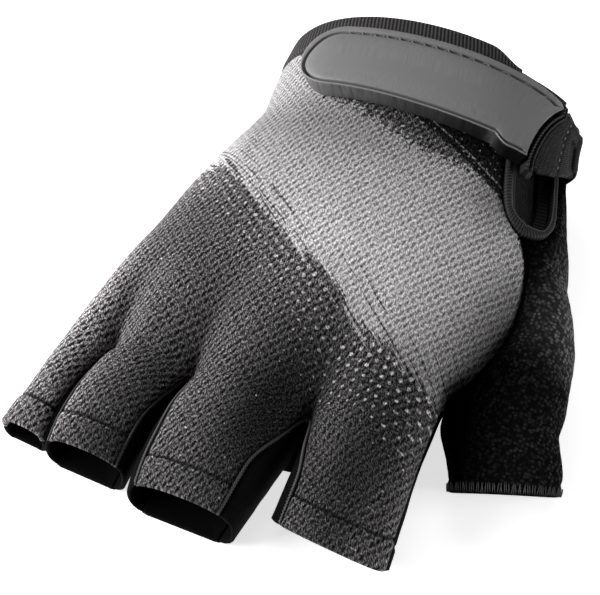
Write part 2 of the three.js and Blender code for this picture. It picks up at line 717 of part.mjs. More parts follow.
// The tab's outline: along its far side, round its tip, back along its near side and across its end
function tabOutline(spineEnd) {
  const [end] = TAB_SIDES;
  const shoulder = TAB_SIDES[TAB_SIDES.length - 1];
  const side = (name, sign) => [
    ...TAB_SIDES.map((o) => ({ length: o.length, across: sign * o[name] })),
    ...steps(TAB_STOPS).slice(1).map((t) => ({
      length: mix(shoulder.length, spineEnd, t),
      across: sign * mix(shoulder[name], TAB.tipRadius, ease(t)),
    })),
  ];
  const tip = steps(TAB_ARC).slice(1, -1).map((t) => {
    const turn = Math.PI * (0.5 - t);
    return { length: spineEnd + TAB.tipRadius * Math.cos(turn), across: TAB.tipRadius * Math.sin(turn) };
  });
  const across = steps(TAB_END_STOPS).slice(1, -1).map((t) => (
    { length: end.length, across: mix(-end.near, end.far, t) }
  ));
  return [...side("far", 1), ...tip, ...side("near", -1).reverse(), ...across];
}

function tab() {
  const spineEnd = strapAngle.lengthTo(TAB.tipAngle) - TAB.tipRadius;
  const outline = tabOutline(spineEnd).map((o) => ({
    ...o,
    spine: Math.min(spineEnd, Math.max(TAB.spineStart, o.length)),
    sewn: o.length <= TAB_SIDES[0].length,
  }));
  // Steps from the underside, round the edge and through the groove, towards the middle of the top
  const top = TAB.base + TAB.wall;
  const inner = TAB.rim + TAB.groove;
  const profile = [
    { inset: 0, height: TAB.base },
    { inset: 0, height: top - TAB.chamfer },
    { inset: TAB.chamfer, height: top },
    { inset: TAB.rim, height: top },
    { inset: TAB.rim + TAB.grooveFlank, height: top, groove: TAB.grooveDepth },
    { inset: inner - TAB.grooveFlank, height: top, groove: TAB.grooveDepth },
    { inset: inner, height: top },
    { inset: TAB.crownInset, height: TAB.base + TAB.crown - TAB.crownFall },
  ];
  const points = [];
  const add = (length, across, height) => points.push(tabPoint(length, across, height)) - 1;
  const rings = profile.map(({ inset, height, groove = 0 }) =>
    outline.map(({ length, across, spine, sewn }) => {
      const reach = Math.hypot(length - spine, across);
      const share = (sewn ? inset * TAB.endInset : inset) / reach;
      return add(mix(length, spine, share), mix(across, 0, share), sewn ? height : height - groove);
    }),
  );
  const middle = (height) => {
    const ids = new Map();
    return outline.map(({ spine }) => {
      if (!ids.has(spine)) ids.set(spine, add(spine, 0, height));
      return ids.get(spine);
    });
  };
  const levels = [middle(TAB.base), ...rings, middle(TAB.base + TAB.crown)];
  const index = [];
  levels.slice(1).forEach((level, l) => {
    const below = levels[l];
    level.forEach((id, k) => {
      const m = (k + 1) % level.length;
      const corners = [below[k], below[m], level[m], id];
      const kept = corners.filter((c, i) => c !== corners[(i + 1) % corners.length]);
      for (let i = 1; i + 1 < kept.length; i++) index.push(kept[0], kept[i], kept[i + 1]);
    });
  });
  return meshOf(points, index);
}

// The folded end of the strap, sewn along the tab's slanted end.
const FOLD = {
  thickness: 3.8,
  width: 3.7, // degrees round the wrist
  gapAngle: 0.3, // beyond the tab's end
  near: 45.4, // its rows
  far: 71.2,
  edgeFall: 0.8, // how much lower its long edges are
};
const foldAngle = (row, share) => TAB_END.angle - endLean(row) - FOLD.gapAngle - share * FOLD.width;
function strapFold() {
  const across = steps(8);
  const rows = [0, 0.12, 0.5, 0.88, 1].map((share) => across.map((a) => {
    const row = mix(FOLD.near, FOLD.far, a);
    const fall = share === 0 || share === 1 ? FOLD.edgeFall : 0;
    return { row, angle: foldAngle(row, share), height: STRAP.overSlit + FOLD.thickness - fall };
  }));
  return overlay(rows, FOLD.thickness);
}

// Height of the strap's underside over the cloth
function strapSeat(row, angle) {
  const slit = straight(SIDE_LINES, "y", "slitRight", row) - 1;
  const seat = mix(STRAP.overSlit, STRAP.sewnDown, ease((slit - angle) / STRAP.sewnRun));
  const cuff = CUFF_ROWS[CUFF_ROWS.length - 1];
  return row > cuff - STRAP.cuffReach ? Math.max(seat, STRAP.overCuff) : seat;
}

// The knitted strap, from its folded end over the slit to where it is sewn down
const BASE_GAP = 0.7; // degrees between it and the fold
const baseRow = (angle, a) => mix(strapEdge("near", angle), strapEdge("far", angle), a);
function baseStart(a) {
  let angle = TAB_END.angle;
  // Row and angle depend on each other, and settle within a few rounds
  for (let i = 0; i < 6; i++) angle = foldAngle(baseRow(angle, a), 1) - BASE_GAP;
  return angle;
}

function strapBase() {
  const rows = steps(12).map((t) => steps(8).map((a) => {
    const angle = mix(baseStart(a), STRAP.to, t);
    const row = baseRow(angle, a);
    return { row, angle, height: strapSeat(row, angle) + STRAP.thickness };
  }));
  return overlay(rows, STRAP.thickness);
}

// The patch of hook and loop between the tab and the back of the wrist.
const PATCH = { from: 59, to: 126, halfWidth: 7.4, seat: 0.3, thickness: 0.7 };
function closurePatch() {
  const rows = steps(14).map((t) => {
    const angle = mix(PATCH.from, PATCH.to, t);
    return [1, 0.33, -0.33, -1].map((a) => ({
      row: strapRow(angle) + a * PATCH.halfWidth,
      angle,
      height: PATCH.seat + PATCH.thickness,
    }));
  });
  return overlay(rows, PATCH.thickness);
}

// A loose pleat of the strap, standing off the thumb side below the strap.
const PLEAT = { from: 13.2, to: 0, low: 58, high: 71.5, thickness: 1.2 };
const PLEAT_SHAPE = [
  { share: 0, height: 2.1 },
  { share: 0.25, height: 3.6 },
  { share: 0.6, height: 2.8 },
  { share: 1, height: 2.1 },
];
function strapPleat() {
  const rows = steps(8).map((share) => steps(3).map((a) => ({
    row: mix(PLEAT.low, PLEAT.high, a),
    angle: mix(PLEAT.from, PLEAT.to, share),
    height: straight(PLEAT_SHAPE, "share", "height", share),
  })));
  return overlay(rows, PLEAT.thickness);
}

const cloth = (color, roughness) => new THREE.MeshStandardMaterial({ color, roughness, metalness: 0 });
const materials = {
  mesh: cloth(0x4a484a, 0.85),
  suede: cloth(0x161616, 0.8),
  towelling: cloth(0x1b1b1b, 0.95),
  stretch: cloth(0x131313, 0.75),
  elastic: cloth(0x2e2e2e, 0.8),
  rubber: cloth(0x5c5c5d, 0.55),
  knit: cloth(0x222222, 0.85),
};

const glove = new THREE.Group();
glove.position.set(-ORIGIN.x, -ORIGIN.y, 0);
function add(name, geometry, material) {
  const mesh = new THREE.Mesh(geometry, material);
  mesh.name = name;
  glove.add(mesh);
}

add("back_panel", clothPiece("back_panel", MESH_CLOTH), materials.mesh);
add("palm_panel", clothPiece("palm_panel", PALM_CLOTH), materials.suede);
add("thumb_panel", clothPiece("thumb_panel", THUMB_CLOTH, { relief: THUMB_RELIEF }), materials.towelling);
CROTCHES.forEach((_, i) => {
  const gusset = clothPiece(gussetName(i), GUSSET_CLOTH, { gap: GUSSET_GAP, relief: GUSSET_RELIEF });
  add(gussetName(i), gusset, materials.stretch);
});
add("wrist_cuff", clothPiece("wrist_cuff", CUFF_BAND, { proud: CUFF_PROUD }), materials.elastic);
add("slit_binding", slitBinding(), materials.elastic);
add("closure_tab", tab(), materials.rubber);
add("closure_patch", closurePatch(), materials.knit);
add("strap_base", strapBase(), materials.knit);
add("strap_fold", strapFold(), materials.knit);
add("strap_pleat", strapPleat(), materials.knit);

const whole = new THREE.Group();
whole.add(glove);
export default whole;
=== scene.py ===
"""Looks of a right-hand short-finger sports glove, laid out as a Blender add-on.

The frame holds the glove's solids. Here each of them gets its cloth, seams, stitches and finish. Sizes of the
outer surface are in millimetres, in the tables' own coordinates, and become metres where a mesh is made.
"""
import math
from functools import partial
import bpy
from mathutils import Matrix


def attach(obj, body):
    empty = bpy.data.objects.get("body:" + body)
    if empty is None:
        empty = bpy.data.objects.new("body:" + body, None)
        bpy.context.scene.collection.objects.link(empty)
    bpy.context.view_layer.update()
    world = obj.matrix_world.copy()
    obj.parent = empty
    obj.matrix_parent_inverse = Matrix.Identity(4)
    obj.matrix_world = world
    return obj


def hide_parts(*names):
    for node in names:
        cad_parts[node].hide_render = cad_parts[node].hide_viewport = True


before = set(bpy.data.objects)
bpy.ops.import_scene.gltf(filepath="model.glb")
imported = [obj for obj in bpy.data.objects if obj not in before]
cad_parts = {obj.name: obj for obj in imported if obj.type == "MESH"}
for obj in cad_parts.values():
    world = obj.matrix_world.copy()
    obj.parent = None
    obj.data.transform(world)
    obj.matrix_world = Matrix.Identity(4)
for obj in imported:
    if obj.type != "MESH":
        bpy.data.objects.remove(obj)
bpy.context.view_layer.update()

from types import SimpleNamespace

import bpy
import numpy as np
from mathutils import Vector, noise

bl_info = {
    "name": "Short-finger glove looks",
    "version": (1, 0, 0),
    "blender": (4, 5, 0),
    "location": "View3D > Sidebar > Glove",
    "description": "Dresses the solids of a short-finger sports glove in cloth, stitches and rubber",
    "category": "Object",
}

MM = 0.001
ORIGIN = np.array((12.39, 6.83, 0.0))  # where the part's origin lies in the tables' coordinates


def table(names, rows):
    """A table as one array for each named column, sorted by its first column."""
    values = np.array(sorted(rows), float)
    return {name: values[:, i] for i, name in enumerate(names.split())}


# Sections of the hand: its width in x, its crown, the height where it is widest and its underside
HAND = table("y left right top mid bottom crown", [
    (78, -35.5, 47.4, 46.3, 23, 0.8, 2.05),
    (64, -35, 49.6, 45.4, 22, 0.2, 2.1),
    (50, -34, 54.8, 43.5, 20, -1.5, 2.15),
    (35, -38.4, 60, 41.5, 18, -2.5, 2.25),
    (20, -42, 59.5, 39, 17, -2, 2.25),
    (5, -45, 57.5, 36, 16, -0.5, 2.25),
    (-8, -47.5, 53, 33.5, 15, 1.5, 2.25),
    (-16, -48.6, 47.2, 32, 14, 2.8, 2.25),
    (-25, -49.8, 46.8, 29.8, 13.2, 3.4, 2.25),
    (-35, -51, 47.6, 27, 12.4, 3.4, 2.25),
])
HAND_UNDERSIDE = 3.0
WRIST = 78.0
CUFF_END = 68.4
SLIT_FOOT = 30.0
THUMB_CROTCH = -16.0
FINGER_CROTCH = -35.0
TABLE = 0.0
MIDDLE_X = -12.0

# The wrist edge is slanted: it reaches further over the back of the hand than under it
WRIST_SLANT = SimpleNamespace(start=40, end=78, per_x=0.05, per_z=0.13, x=10, z=25)

# Angles round the hand, 0 at the thumb side and 90 at the crown, of the slit's two sides and the palm's edge
SIDE_LINES = table("y slit_left slit_right palm", [
    (78, 55, 23, -52),
    (44, 55.4, 24, -54),
    (40, 55, 25.5, -54),
    (36, 53.6, 28.4, -54),
    (33.5, 51.4, 31.2, -54),
    (32, 49.2, 34, -53.5),
    (31, 46.8, 36.8, -53),
    (30.4, 44.6, 39.2, -53),
    (30, 42, 42, -53),
    (24, 33, 33, -51),
    (17, 26, 26, -48),
    (8, 19.5, 19.5, -43),
    (0, 17, 17, -36),
    (-6, 14.5, 14.5, -27),
    (-12, 8, 8, -14),
    (-16, 0, 0, 0),
    (-35, 0, 0, 0),
])

# Sections of the thumb, by the row of the hand that they belong to
THUMB = table("row x y half top mid bottom turn start end own", [
    (44, 40.5, 44.5, 19, 40, 18, -2.5, 0, 52, -90, 0),
    (24, 47.4, 23.5, 18.9, 36, 17, -2, 3, 84, -108, 0.75),
    (10, 51.4, 8.5, 18, 31.5, 15, -1.5, 8, 108, -122, 1),
    (-4, 55.8, -5, 16.8, 26.5, 13, -1, 12.5, 138, -145, 1),
    (-16, 61.4, -14.4, 15, 21.5, 11, -0.8, 16.5, 180, -180, 1),
    (-28, 68, -27, 14.5, 16, 8, -0.6, 19.5, 180, -180, 1),
    (-34, 70.2, -33.4, 13.9, 13.4, 6.8, -0.4, 20.6, 180, -180, 1),
])
THUMB_TIP = -34.0
THUMB_TOP = 44.0
THUMB_ROUNDNESS = (2.2, 2.8)
THUMB_OVERHANG = 9.0

SECTION = ("left", "right", "top", "mid", "bottom")
FINGERS = [
    SimpleNamespace(name="pinky", hem_y=-61.2, overhang=1.6, skew=-0.1, left_edge=180, right_edge=18,
                    bow=(0, -2.4), base=(-51, -37.6, 20.5, 11.4, 3.4), hem=(-56.6, -43.4, 10.2, 5, -0.6)),
    SimpleNamespace(name="ring", hem_y=-62.8, overhang=-0.3, skew=-0.06, left_edge=28, right_edge=42,
                    bow=(-2.2, -1.2), base=(-37.2, -15.2, 25, 12.4, 3.4),
                    hem=(-43.0, -19.6, 12.2, 6.4, -0.6)),
    SimpleNamespace(name="middle", hem_y=-67, overhang=-0.3, skew=-0.02, left_edge=38, right_edge=50,
                    bow=(-2.6, 0), base=(-13.8, 17.4, 27, 12.6, 3.4), hem=(-17.6, 12.4, 13.8, 6.4, -0.6)),
    SimpleNamespace(name="index", hem_y=-65, overhang=9.5, skew=-0.1, left_edge=44, right_edge=0,
                    bow=(0, 0), base=(18.6, 47.6, 26, 12.4, 3.4), hem=(18.6, 50.4, 12, 6, -0.6)),
]
FINGER_ROUNDNESS = (2.5, 3.0)
CROTCH_EDGE = 20
PALM_EDGE = -52
CROTCH_ROUND = 0.14
EDGE_CLIMB = 0.6
CROTCH_TOPS = (14.5, 17, 16.5)
CROTCH_PALM = 4.6
WEBS = (0.08, 0.1, 0.26)  # how far the cloth stays joined between two fingers at the palm, in finger lengths
WEB_SLOT = 0.035
VALLEY_RISE = 8
KNUCKLES_FROM = 2
KNUCKLE_RISE = 1.7
KNUCKLE_SLOPE = 0.6

# How finely the surface is drawn here
FINE = 240            # steps of a section when its length is measured
ROW_STEP = 1.1        # between two rows of the hand
FINGER_ROW_STEP = 0.65
FINGER_COLUMNS = 26
THUMB_COLUMNS = 64
GUSSET_COLUMNS = 10
VALLEY_BLUR = 8       # columns on each side that round a valley
VALLEY_FADE = 7       # mm above the crotches over which that rounding starts
YARN_FADE = 0.4       # share of a finger over which its yarns leave the hand's lines
WELD_STEPS = 400      # steps in a mm: points on the same step are one
SEWN_GAP = 0.3        # mm between two cloths that are sewn together


def mix(a, b, t):
    return a + (b - a) * t


def ease(t):
    c = np.clip(t, 0, 1)
    return c * c * (3 - 2 * c)


def bell(d, width):
    return np.exp(-((d / width) ** 2))


def unit(v):
    return v / np.maximum(np.linalg.norm(v, axis=-1, keepdims=True), 1e-9)


def smooth(columns, name):
    """A smooth curve through a table's column, read by the table's first column."""
    x, y = next(iter(columns.values())), columns[name]
    last = len(x) - 1
    before = np.maximum(np.arange(len(x)) - 1, 0)
    after = np.minimum(np.arange(len(x)) + 1, last)
    slopes = (y[after] - y[before]) / (x[after] - x[before])

    def curve(at):
        at = np.clip(at, x[0], x[-1])
        i = np.clip(np.searchsorted(x, at), 1, last)
        span = x[i] - x[i - 1]
        t = (at - x[i - 1]) / span
        s = 1 - t
        ends = s * s * (1 + 2 * t) * y[i - 1] + t * t * (3 - 2 * t) * y[i]
        return ends + t * s * (s * slopes[i - 1] - t * slopes[i]) * span

    return curve


HAND_AT = {name: smooth(HAND, name) for name in HAND}
THUMB_AT = {name: smooth(THUMB, name) for name in THUMB}


def side_line(name, row):
    return np.interp(row, SIDE_LINES["y"], SIDE_LINES[name])


def section_point(s, above, below, angle):
    """x and z of a point of a superelliptic section, by its angle from the thumb side."""
    a = np.radians(angle)
    c, n = np.cos(a), np.sin(a)
    power = 2 / np.where(n >= 0, above, below)
    centre, half = (s["left"] + s["right"]) / 2, (s["right"] - s["left"]) / 2
    height = np.where(n >= 0, s["top"] - s["mid"], s["mid"] - s["bottom"])
    x = centre + half * np.sign(c) * np.abs(c) ** power
    return x, np.maximum(TABLE, s["mid"] + height * np.sign(n) * np.abs(n) ** power)


def hand_point(row, angle):
    """A point of the hand's outside, by its row and its angle. Rows near the wrist are slanted."""
    row, angle = np.broadcast_arrays(np.asarray(row, float), np.asarray(angle, float))
    s = {name: HAND_AT[name](row) for name in HAND if name != "y"}
    x, z = section_point(s, s["crown"], HAND_UNDERSIDE, angle)
    w = WRIST_SLANT
    share = ease((row - w.start) / (w.end - w.start))
    return np.stack([x, row + share * (w.per_x * (x - w.x) + w.per_z * (z - w.z)), z], -1)


def hand_normal(row, angle):
    row, angle = np.asarray(row, float), np.asarray(angle, float)
    along = hand_point(row + 0.5, angle) - hand_point(row - 0.5, angle)
    around = hand_point(row, angle + 0.5) - hand_point(row, angle - 0.5)
    return -unit(np.cross(around, along))


def lengths(points):
    steps = np.linalg.norm(np.diff(points, axis=0), axis=-1)
    return np.concatenate([np.zeros((1,) + steps.shape[1:]), np.cumsum(steps, axis=0)])


def even_points(point_at, start, end, shares):
    """Points of a section at shares of its length between two angles."""
    angles = np.linspace(start, end, FINE + 1)
    run = lengths(point_at(angles))
    return point_at(np.interp(np.asarray(shares) * run[-1], run, angles))


def share_at_x(point_at, start, end, x):
    points = point_at(np.linspace(start, end, FINE + 1))
    run = lengths(points)
    return np.interp(x, points[:, 0], run / run[-1])


def finger_section(finger, t):
    """A finger's section at t. Halfway down, its two edges bow out of their straight lines."""
    s = {name: mix(a, b, t) for name, a, b in zip(SECTION, finger.base, finger.hem)}
    bend = 4 * max(0, t) * (1 - t)
    s["left"] += finger.bow[0] * bend
    s["right"] += finger.bow[1] * bend
    return s


def finger_point(finger, t, angle):
    s = finger_section(finger, t)
    x, z = section_point(s, *FINGER_ROUNDNESS, angle)
    centre = (s["left"] + s["right"]) / 2
    under = 1 - np.clip((z - TABLE) / (s["top"] - TABLE), 0, 1)
    y = mix(FINGER_CROTCH, finger.hem_y, t) + t * finger.skew * (x - centre)
    return np.stack([x, y + max(0, t) ** 2 * under * finger.overhang, z], -1)


def crotch_pull(t, web=0.0):
    """How far two fingers' edges are drawn together at t. A web holds them nearly together up to its end."""
    free = 1 - np.sqrt(np.clip((t - web) / CROTCH_ROUND, 0, 1))
    held = np.where((t > 0) & (np.asarray(web) > 0), 1 - WEB_SLOT * ease(t / 0.03), 1.0)
    return free * held


def web_at(i, side):
    return WEBS[i] if side == "palm" else 0.0


def top_edge(finger, side, t):
    """The angle where a finger's back cloth ends. Its edge climbs from the crotch towards the hem."""
    hem = finger.left_edge if side == "left" else finger.right_edge
    if hem in (0, 180):
        return hem
    angle = mix(CROTCH_EDGE, hem, ease(t / EDGE_CLIMB))
    return 180 - angle if side == "left" else angle


def crotch_point(i, side, t=0.0):
    """Where two fingers part, or the valley above that place for a t below 0."""
    above = min(0.0, t)
    right = finger_section(FINGERS[i], above)["right"]
    left = finger_section(FINGERS[i + 1], above)["left"]
    z = CROTCH_TOPS[i] - above * VALLEY_RISE if side == "top" else CROTCH_PALM
    hem_y = (FINGERS[i].hem_y + FINGERS[i + 1].hem_y) / 2
    return np.array(((left + right) / 2, mix(FINGER_CROTCH, hem_y, min(max(0, t), web_at(i, side))), z))


def finger_row(f, side, t):
    """A finger's back or palm cloth at t, 0 at the crotch line and 1 at the hem, from left to right."""
    finger = FINGERS[f]
    last = len(FINGERS) - 1
    if side == "top":
        ends = top_edge(finger, "left", t), top_edge(finger, "right", t)
    else:
        ends = (-180 if f == 0 else -180 - PALM_EDGE), (0 if f == last else PALM_EDGE)
    shares = np.linspace(0, 1, FINGER_COLUMNS + 1)
    points = even_points(lambda angle: finger_point(finger, t, angle), *ends, shares)
    first = final = np.zeros(3)
    if f > 0:
        first = (crotch_point(f - 1, side, t) - points[0]) * crotch_pull(t, web_at(f - 1, side))
    if f < last:
        final = (crotch_point(f, side, t) - points[-1]) * crotch_pull(t, web_at(f, side))
    s = shares[:, None]
    return points + first * (1 - s) ** 2 + final * s ** 2


def hand_row(row, side):
    """One row of the hand's back or palm, from the little finger's side to the thumb's side, and the same row
    before the knuckles part it."""
    end = side_line("slit_left" if side == "top" else "palm", row)
    start = 180 if side == "top" else -180
    down = ease((WRIST - row) / (WRIST - FINGER_CROTCH))
    at = lambda angle: hand_point(row, angle)
    count = len(FINGERS)
    inner = [mix((i + 1) / count, share_at_x(at, start, end, crotch_point(i, side)[0]), down)
             for i in range(count - 1)]
    cuts = [0, *inner, 1]
    columns = np.arange(count * FINGER_COLUMNS + 1) / FINGER_COLUMNS
    plain = even_points(at, start, end, np.interp(columns, np.arange(count + 1), cuts))
    split = np.clip((KNUCKLES_FROM - row) / (KNUCKLES_FROM - FINGER_CROTCH), 0, 1) ** KNUCKLE_RISE
    if split == 0:
        return plain, plain
    parted = []
    for f, finger in enumerate(FINGERS):
        t = KNUCKLE_SLOPE * (FINGER_CROTCH - row) / (FINGER_CROTCH - finger.hem_y)
        parted.append(finger_row(f, side, t)[1 if f else 0:])
    parted = np.concatenate(parted)
    parted[:, 1] = plain[:, 1]
    return mix(plain, parted, split), plain


def thumb_section_point(row, angle):
    t = {name: float(THUMB_AT[name](row)) for name in THUMB}
    s = {"left": -t["half"], "right": t["half"], "top": t["top"], "mid": t["mid"], "bottom": t["bottom"]}
    x, z = section_point(s, *THUMB_ROUNDNESS, angle)
    turn = math.radians(t["turn"])
    under = 1 - np.clip((z - TABLE) / (t["top"] - TABLE), 0, 1)
    over = THUMB_OVERHANG * under * ease((THUMB_CROTCH - row) / (THUMB_CROTCH - THUMB_TIP))
    return np.stack([t["x"] + x * math.cos(turn) - over * math.sin(turn),
                     t["y"] + x * math.sin(turn) + over * math.cos(turn), z], -1)


def thumb_row(row, first, final):
    """The thumb side of one row, between the back's last point and the palm's last point."""
    shares = np.linspace(0, 1, THUMB_COLUMNS + 1)
    ring_at = lambda angle: thumb_section_point(row, angle)
    if row < THUMB_CROTCH:
        return even_points(ring_at, 180, -180, shares)
    ends = side_line("slit_right", row), side_line("palm", row)
    hand = even_points(lambda angle: hand_point(row, angle), *ends, shares)
    if row >= THUMB_TOP:
        return hand
    own = 1.0 if row <= THUMB_CROTCH else float(np.clip(THUMB_AT["own"](row), 0, 1))
    ring = even_points(ring_at, float(THUMB_AT["start"](row)), float(THUMB_AT["end"](row)), shares)
    if row > SLIT_FOOT:
        first, final = hand[0], hand[-1]
    s = shares[:, None]
    drawn = ring + (first - ring[0]) * (1 - s) ** 3 + (final - ring[-1]) * s ** 3
    return mix(hand, drawn, own)


def spaced(stops, step):
    """Values through all the stops, no further apart than a step."""
    out = [stops[0]]
    for a, b in zip(stops, stops[1:]):
        count = max(1, math.ceil(abs(b - a) / step))
        out += list(np.linspace(a, b, count + 1)[1:])
    return out


def gusset_rows(f, side, tops, palms, steps):
    """The wall of a finger between its back cloth and its palm cloth, on its left (-1) or right (1)."""
    finger, walls = FINGERS[f], []
    end = -1 if side > 0 else 0
    shares = np.linspace(0, 1, GUSSET_COLUMNS + 1)
    for t, top, palm in zip(steps, tops, palms):
        if side > 0:
            angles = top_edge(finger, "right", t), PALM_EDGE
        else:
            angles = top_edge(finger, "left", t), 180 - PALM_EDGE
        wall = even_points(lambda angle: finger_point(finger, t, angle), *angles, shares)
        line = mix(top[end], palm[end], shares[:, None])
        pull = crotch_pull(t, WEBS[f if side > 0 else f - 1] * shares ** 1.5)
        wall = mix(wall, line, pull[:, None])
        wall[0], wall[-1] = top[end], palm[end]
        walls.append(wall)
    return np.array(walls)


def gusset_name(left):
    """The name of the gusset to the right of a finger."""
    return f"gusset_{FINGERS[left].name}_{FINGERS[left + 1].name}"


def cloth_places(points, middle, sign):
    """Places on the flat cloth in mm: across from a middle column, and along from the first row."""
    across = lengths(points.transpose(1, 0, 2)).T
    across = across - across[:, middle:middle + 1]
    along = sign * lengths(points)
    return np.stack([across, along], -1)


def straight_places(plain, x):
    """Places on the flat cloth for the hand's rows, from wrist to crotch: across from a straight line at x,
    and along that line from the crotches. The valleys between the knuckles don't bend the cloth's yarns."""
    across = lengths(plain.transpose(1, 0, 2)).T
    across = across - np.array([[np.interp(x, row[:, 0], run)] for row, run in zip(plain, across)])
    spine = np.array([[np.interp(x, row[:, 0], row[:, k]) for k in range(3)] for row in plain])
    along = lengths(spine[::-1])[::-1]
    return np.stack([across, along[:, None] + 0 * across], -1)


def soften_valleys(back, rows):
    """Rounds the creases between the knuckles, above the crotches."""
    reach = np.arange(-VALLEY_BLUR, VALLEY_BLUR + 1)
    weights = bell(reach, VALLEY_BLUR / 2)
    padded = np.pad(back[..., 2], ((0, 0), (VALLEY_BLUR, VALLEY_BLUR)), mode="edge")
    blurred = sum(w * padded[:, i:i + back.shape[1]] for i, w in enumerate(weights / weights.sum()))
    column = np.arange(back.shape[1])
    near = sum(bell(column - i * FINGER_COLUMNS, VALLEY_BLUR) for i in range(1, len(FINGERS)))
    share = ease((np.array(rows) - FINGER_CROTCH) / VALLEY_FADE)[:, None] * np.minimum(near, 1)[None, :]
    back[..., 2] = mix(back[..., 2], blurred, share)


def draw_net():
    """Every grid of the glove's outside, each with the cut piece of cloth that it belongs to."""
    grids = []

    def keep(piece, name, points, places, flip, hem=True):
        edge = np.zeros(points.shape[:2], bool)
        edge[-1] = hem
        grids.append(SimpleNamespace(piece=piece, name=name, points=points, places=places, flip=flip,
                                     hem=edge))

    stops = [y for y in sorted(SIDE_LINES["y"], reverse=True) if SLIT_FOOT <= y <= THUMB_TOP]
    rows = spaced([CUFF_END, *stops, 24, 10, -4, THUMB_CROTCH, FINGER_CROTCH], ROW_STEP)
    back, back_plain = (np.array(part) for part in zip(*(hand_row(row, "top") for row in rows)))
    palm, palm_plain = (np.array(part) for part in zip(*(hand_row(row, "palm") for row in rows)))
    soften_valleys(back, rows)
    back_places = straight_places(back_plain, MIDDLE_X)
    palm_places = straight_places(palm_plain, MIDDLE_X)
    keep("back_panel", "hand", back, back_places, True, False)
    keep("palm_panel", "hand", palm, palm_places, False, False)

    upper = [row for row in rows if row >= THUMB_CROTCH]
    tips = spaced([THUMB_CROTCH, THUMB_TIP], ROW_STEP)[1:]
    thumb = [thumb_row(row, back[i, -1], palm[i, -1]) for i, row in enumerate(upper)]
    thumb += [thumb_row(row, None, None) for row in tips]
    thumb = np.array(thumb)
    keep("thumb_panel", "hand", thumb, cloth_places(thumb[::-1], 0, 1)[::-1], True)

    for f, finger in enumerate(FINGERS):
        length = FINGER_CROTCH - finger.hem_y
        steps = np.array(spaced([0, 0.1, 1], FINGER_ROW_STEP / length))
        tops = np.array([finger_row(f, "top", t) for t in steps])
        palms = np.array([finger_row(f, "palm", t) for t in steps])
        half = FINGER_COLUMNS // 2
        column = f * FINGER_COLUMNS + half
        for piece, points, base, flip in (("back_panel", tops, back_places, True),
                                          ("palm_panel", palms, palm_places, False)):
            places = cloth_places(points, half, -1)
            joined = base[-1, f * FINGER_COLUMNS:(f + 1) * FINGER_COLUMNS + 1, 0]
            places[..., 0] += base[-1, column, 0]
            places[..., 0] += (joined - places[0, :, 0]) * (1 - ease(steps / YARN_FADE))[:, None]
            keep(piece, finger.name, points, places, flip)
        for side, left in ((1, f), (-1, f - 1)):
            if 0 <= left < len(FINGERS) - 1:
                wall = gusset_rows(f, side, tops, palms, steps)
                keep(gusset_name(left), side, wall, cloth_places(wall, 0, -1), side > 0)
    return grids


def weld(points):
    """One number for each place, so that points at the same place share it."""
    keys = np.round(points * WELD_STEPS).astype(np.int64)
    _, first, ids = np.unique(keys, axis=0, return_index=True, return_inverse=True)
    return first, ids.ravel()


def grid_faces(ids, flip):
    a, b, c, d = ids[:-1, :-1], ids[:-1, 1:], ids[1:, 1:], ids[1:, :-1]
    quads = np.stack([a, b, c, d], -1).reshape(-1, 4)
    faces = []
    for quad in quads[:, ::-1] if flip else quads:
        kept = [q for i, q in enumerate(quad) if q != quad[(i + 1) % 4]]
        if len(kept) >= 3:
            faces.append(tuple(int(q) for q in kept))
    return faces


def net_normals(grids):
    """Normals of the whole outside, so that pieces that are sewn together meet on one mitre."""
    points = np.concatenate([g.points.reshape(-1, 3) for g in grids])
    first, ids = weld(points)
    total = np.zeros((len(first), 3))
    at = 0
    for g in grids:
        shape = g.points.shape[:2]
        own = ids[at:at + shape[0] * shape[1]].reshape(shape)
        a, b, c, d = g.points[:-1, :-1], g.points[:-1, 1:], g.points[1:, 1:], g.points[1:, :-1]
        area = np.cross(c - a, d - b)
        if g.flip:
            area = -area
        for corner in (own[:-1, :-1], own[:-1, 1:], own[1:, 1:], own[1:, :-1]):
            np.add.at(total, corner.ravel(), area.reshape(-1, 3))
        at += shape[0] * shape[1]
    normals = unit(total)[ids]
    at = 0
    for g in grids:
        count = g.points.shape[0] * g.points.shape[1]
        g.normals = normals[at:at + count].reshape(g.points.shape)
        at += count


NET = draw_net()
net_normals(NET)


def rim_of(faces):
    """The directed edges round an open sheet."""
    edges = {(a, f[(i + 1) % len(f)]) for f in faces for i, a in enumerate(f)}
    return [(a, b) for a, b in edges if (b, a) not in edges]


def outward(points, normals, rim):
    """For each point of the rim, the direction in the sheet that points away from it."""
    away = np.zeros_like(points)
    for a, b in rim:
        run = unit(points[b] - points[a])
        away[a] += run
        away[b] += run
    out = np.cross(away, normals)
    return unit(out)


def nearest(points, spots):
    """How far each point is from the nearest spot, worked out for about 200 spots at a time."""
    best = np.full(len(points), np.inf)
    for chunk in np.array_split(spots, max(1, len(spots) // 200)):
        best = np.minimum(best, np.linalg.norm(points[:, None] - chunk[None], axis=-1).min(1))
    return best


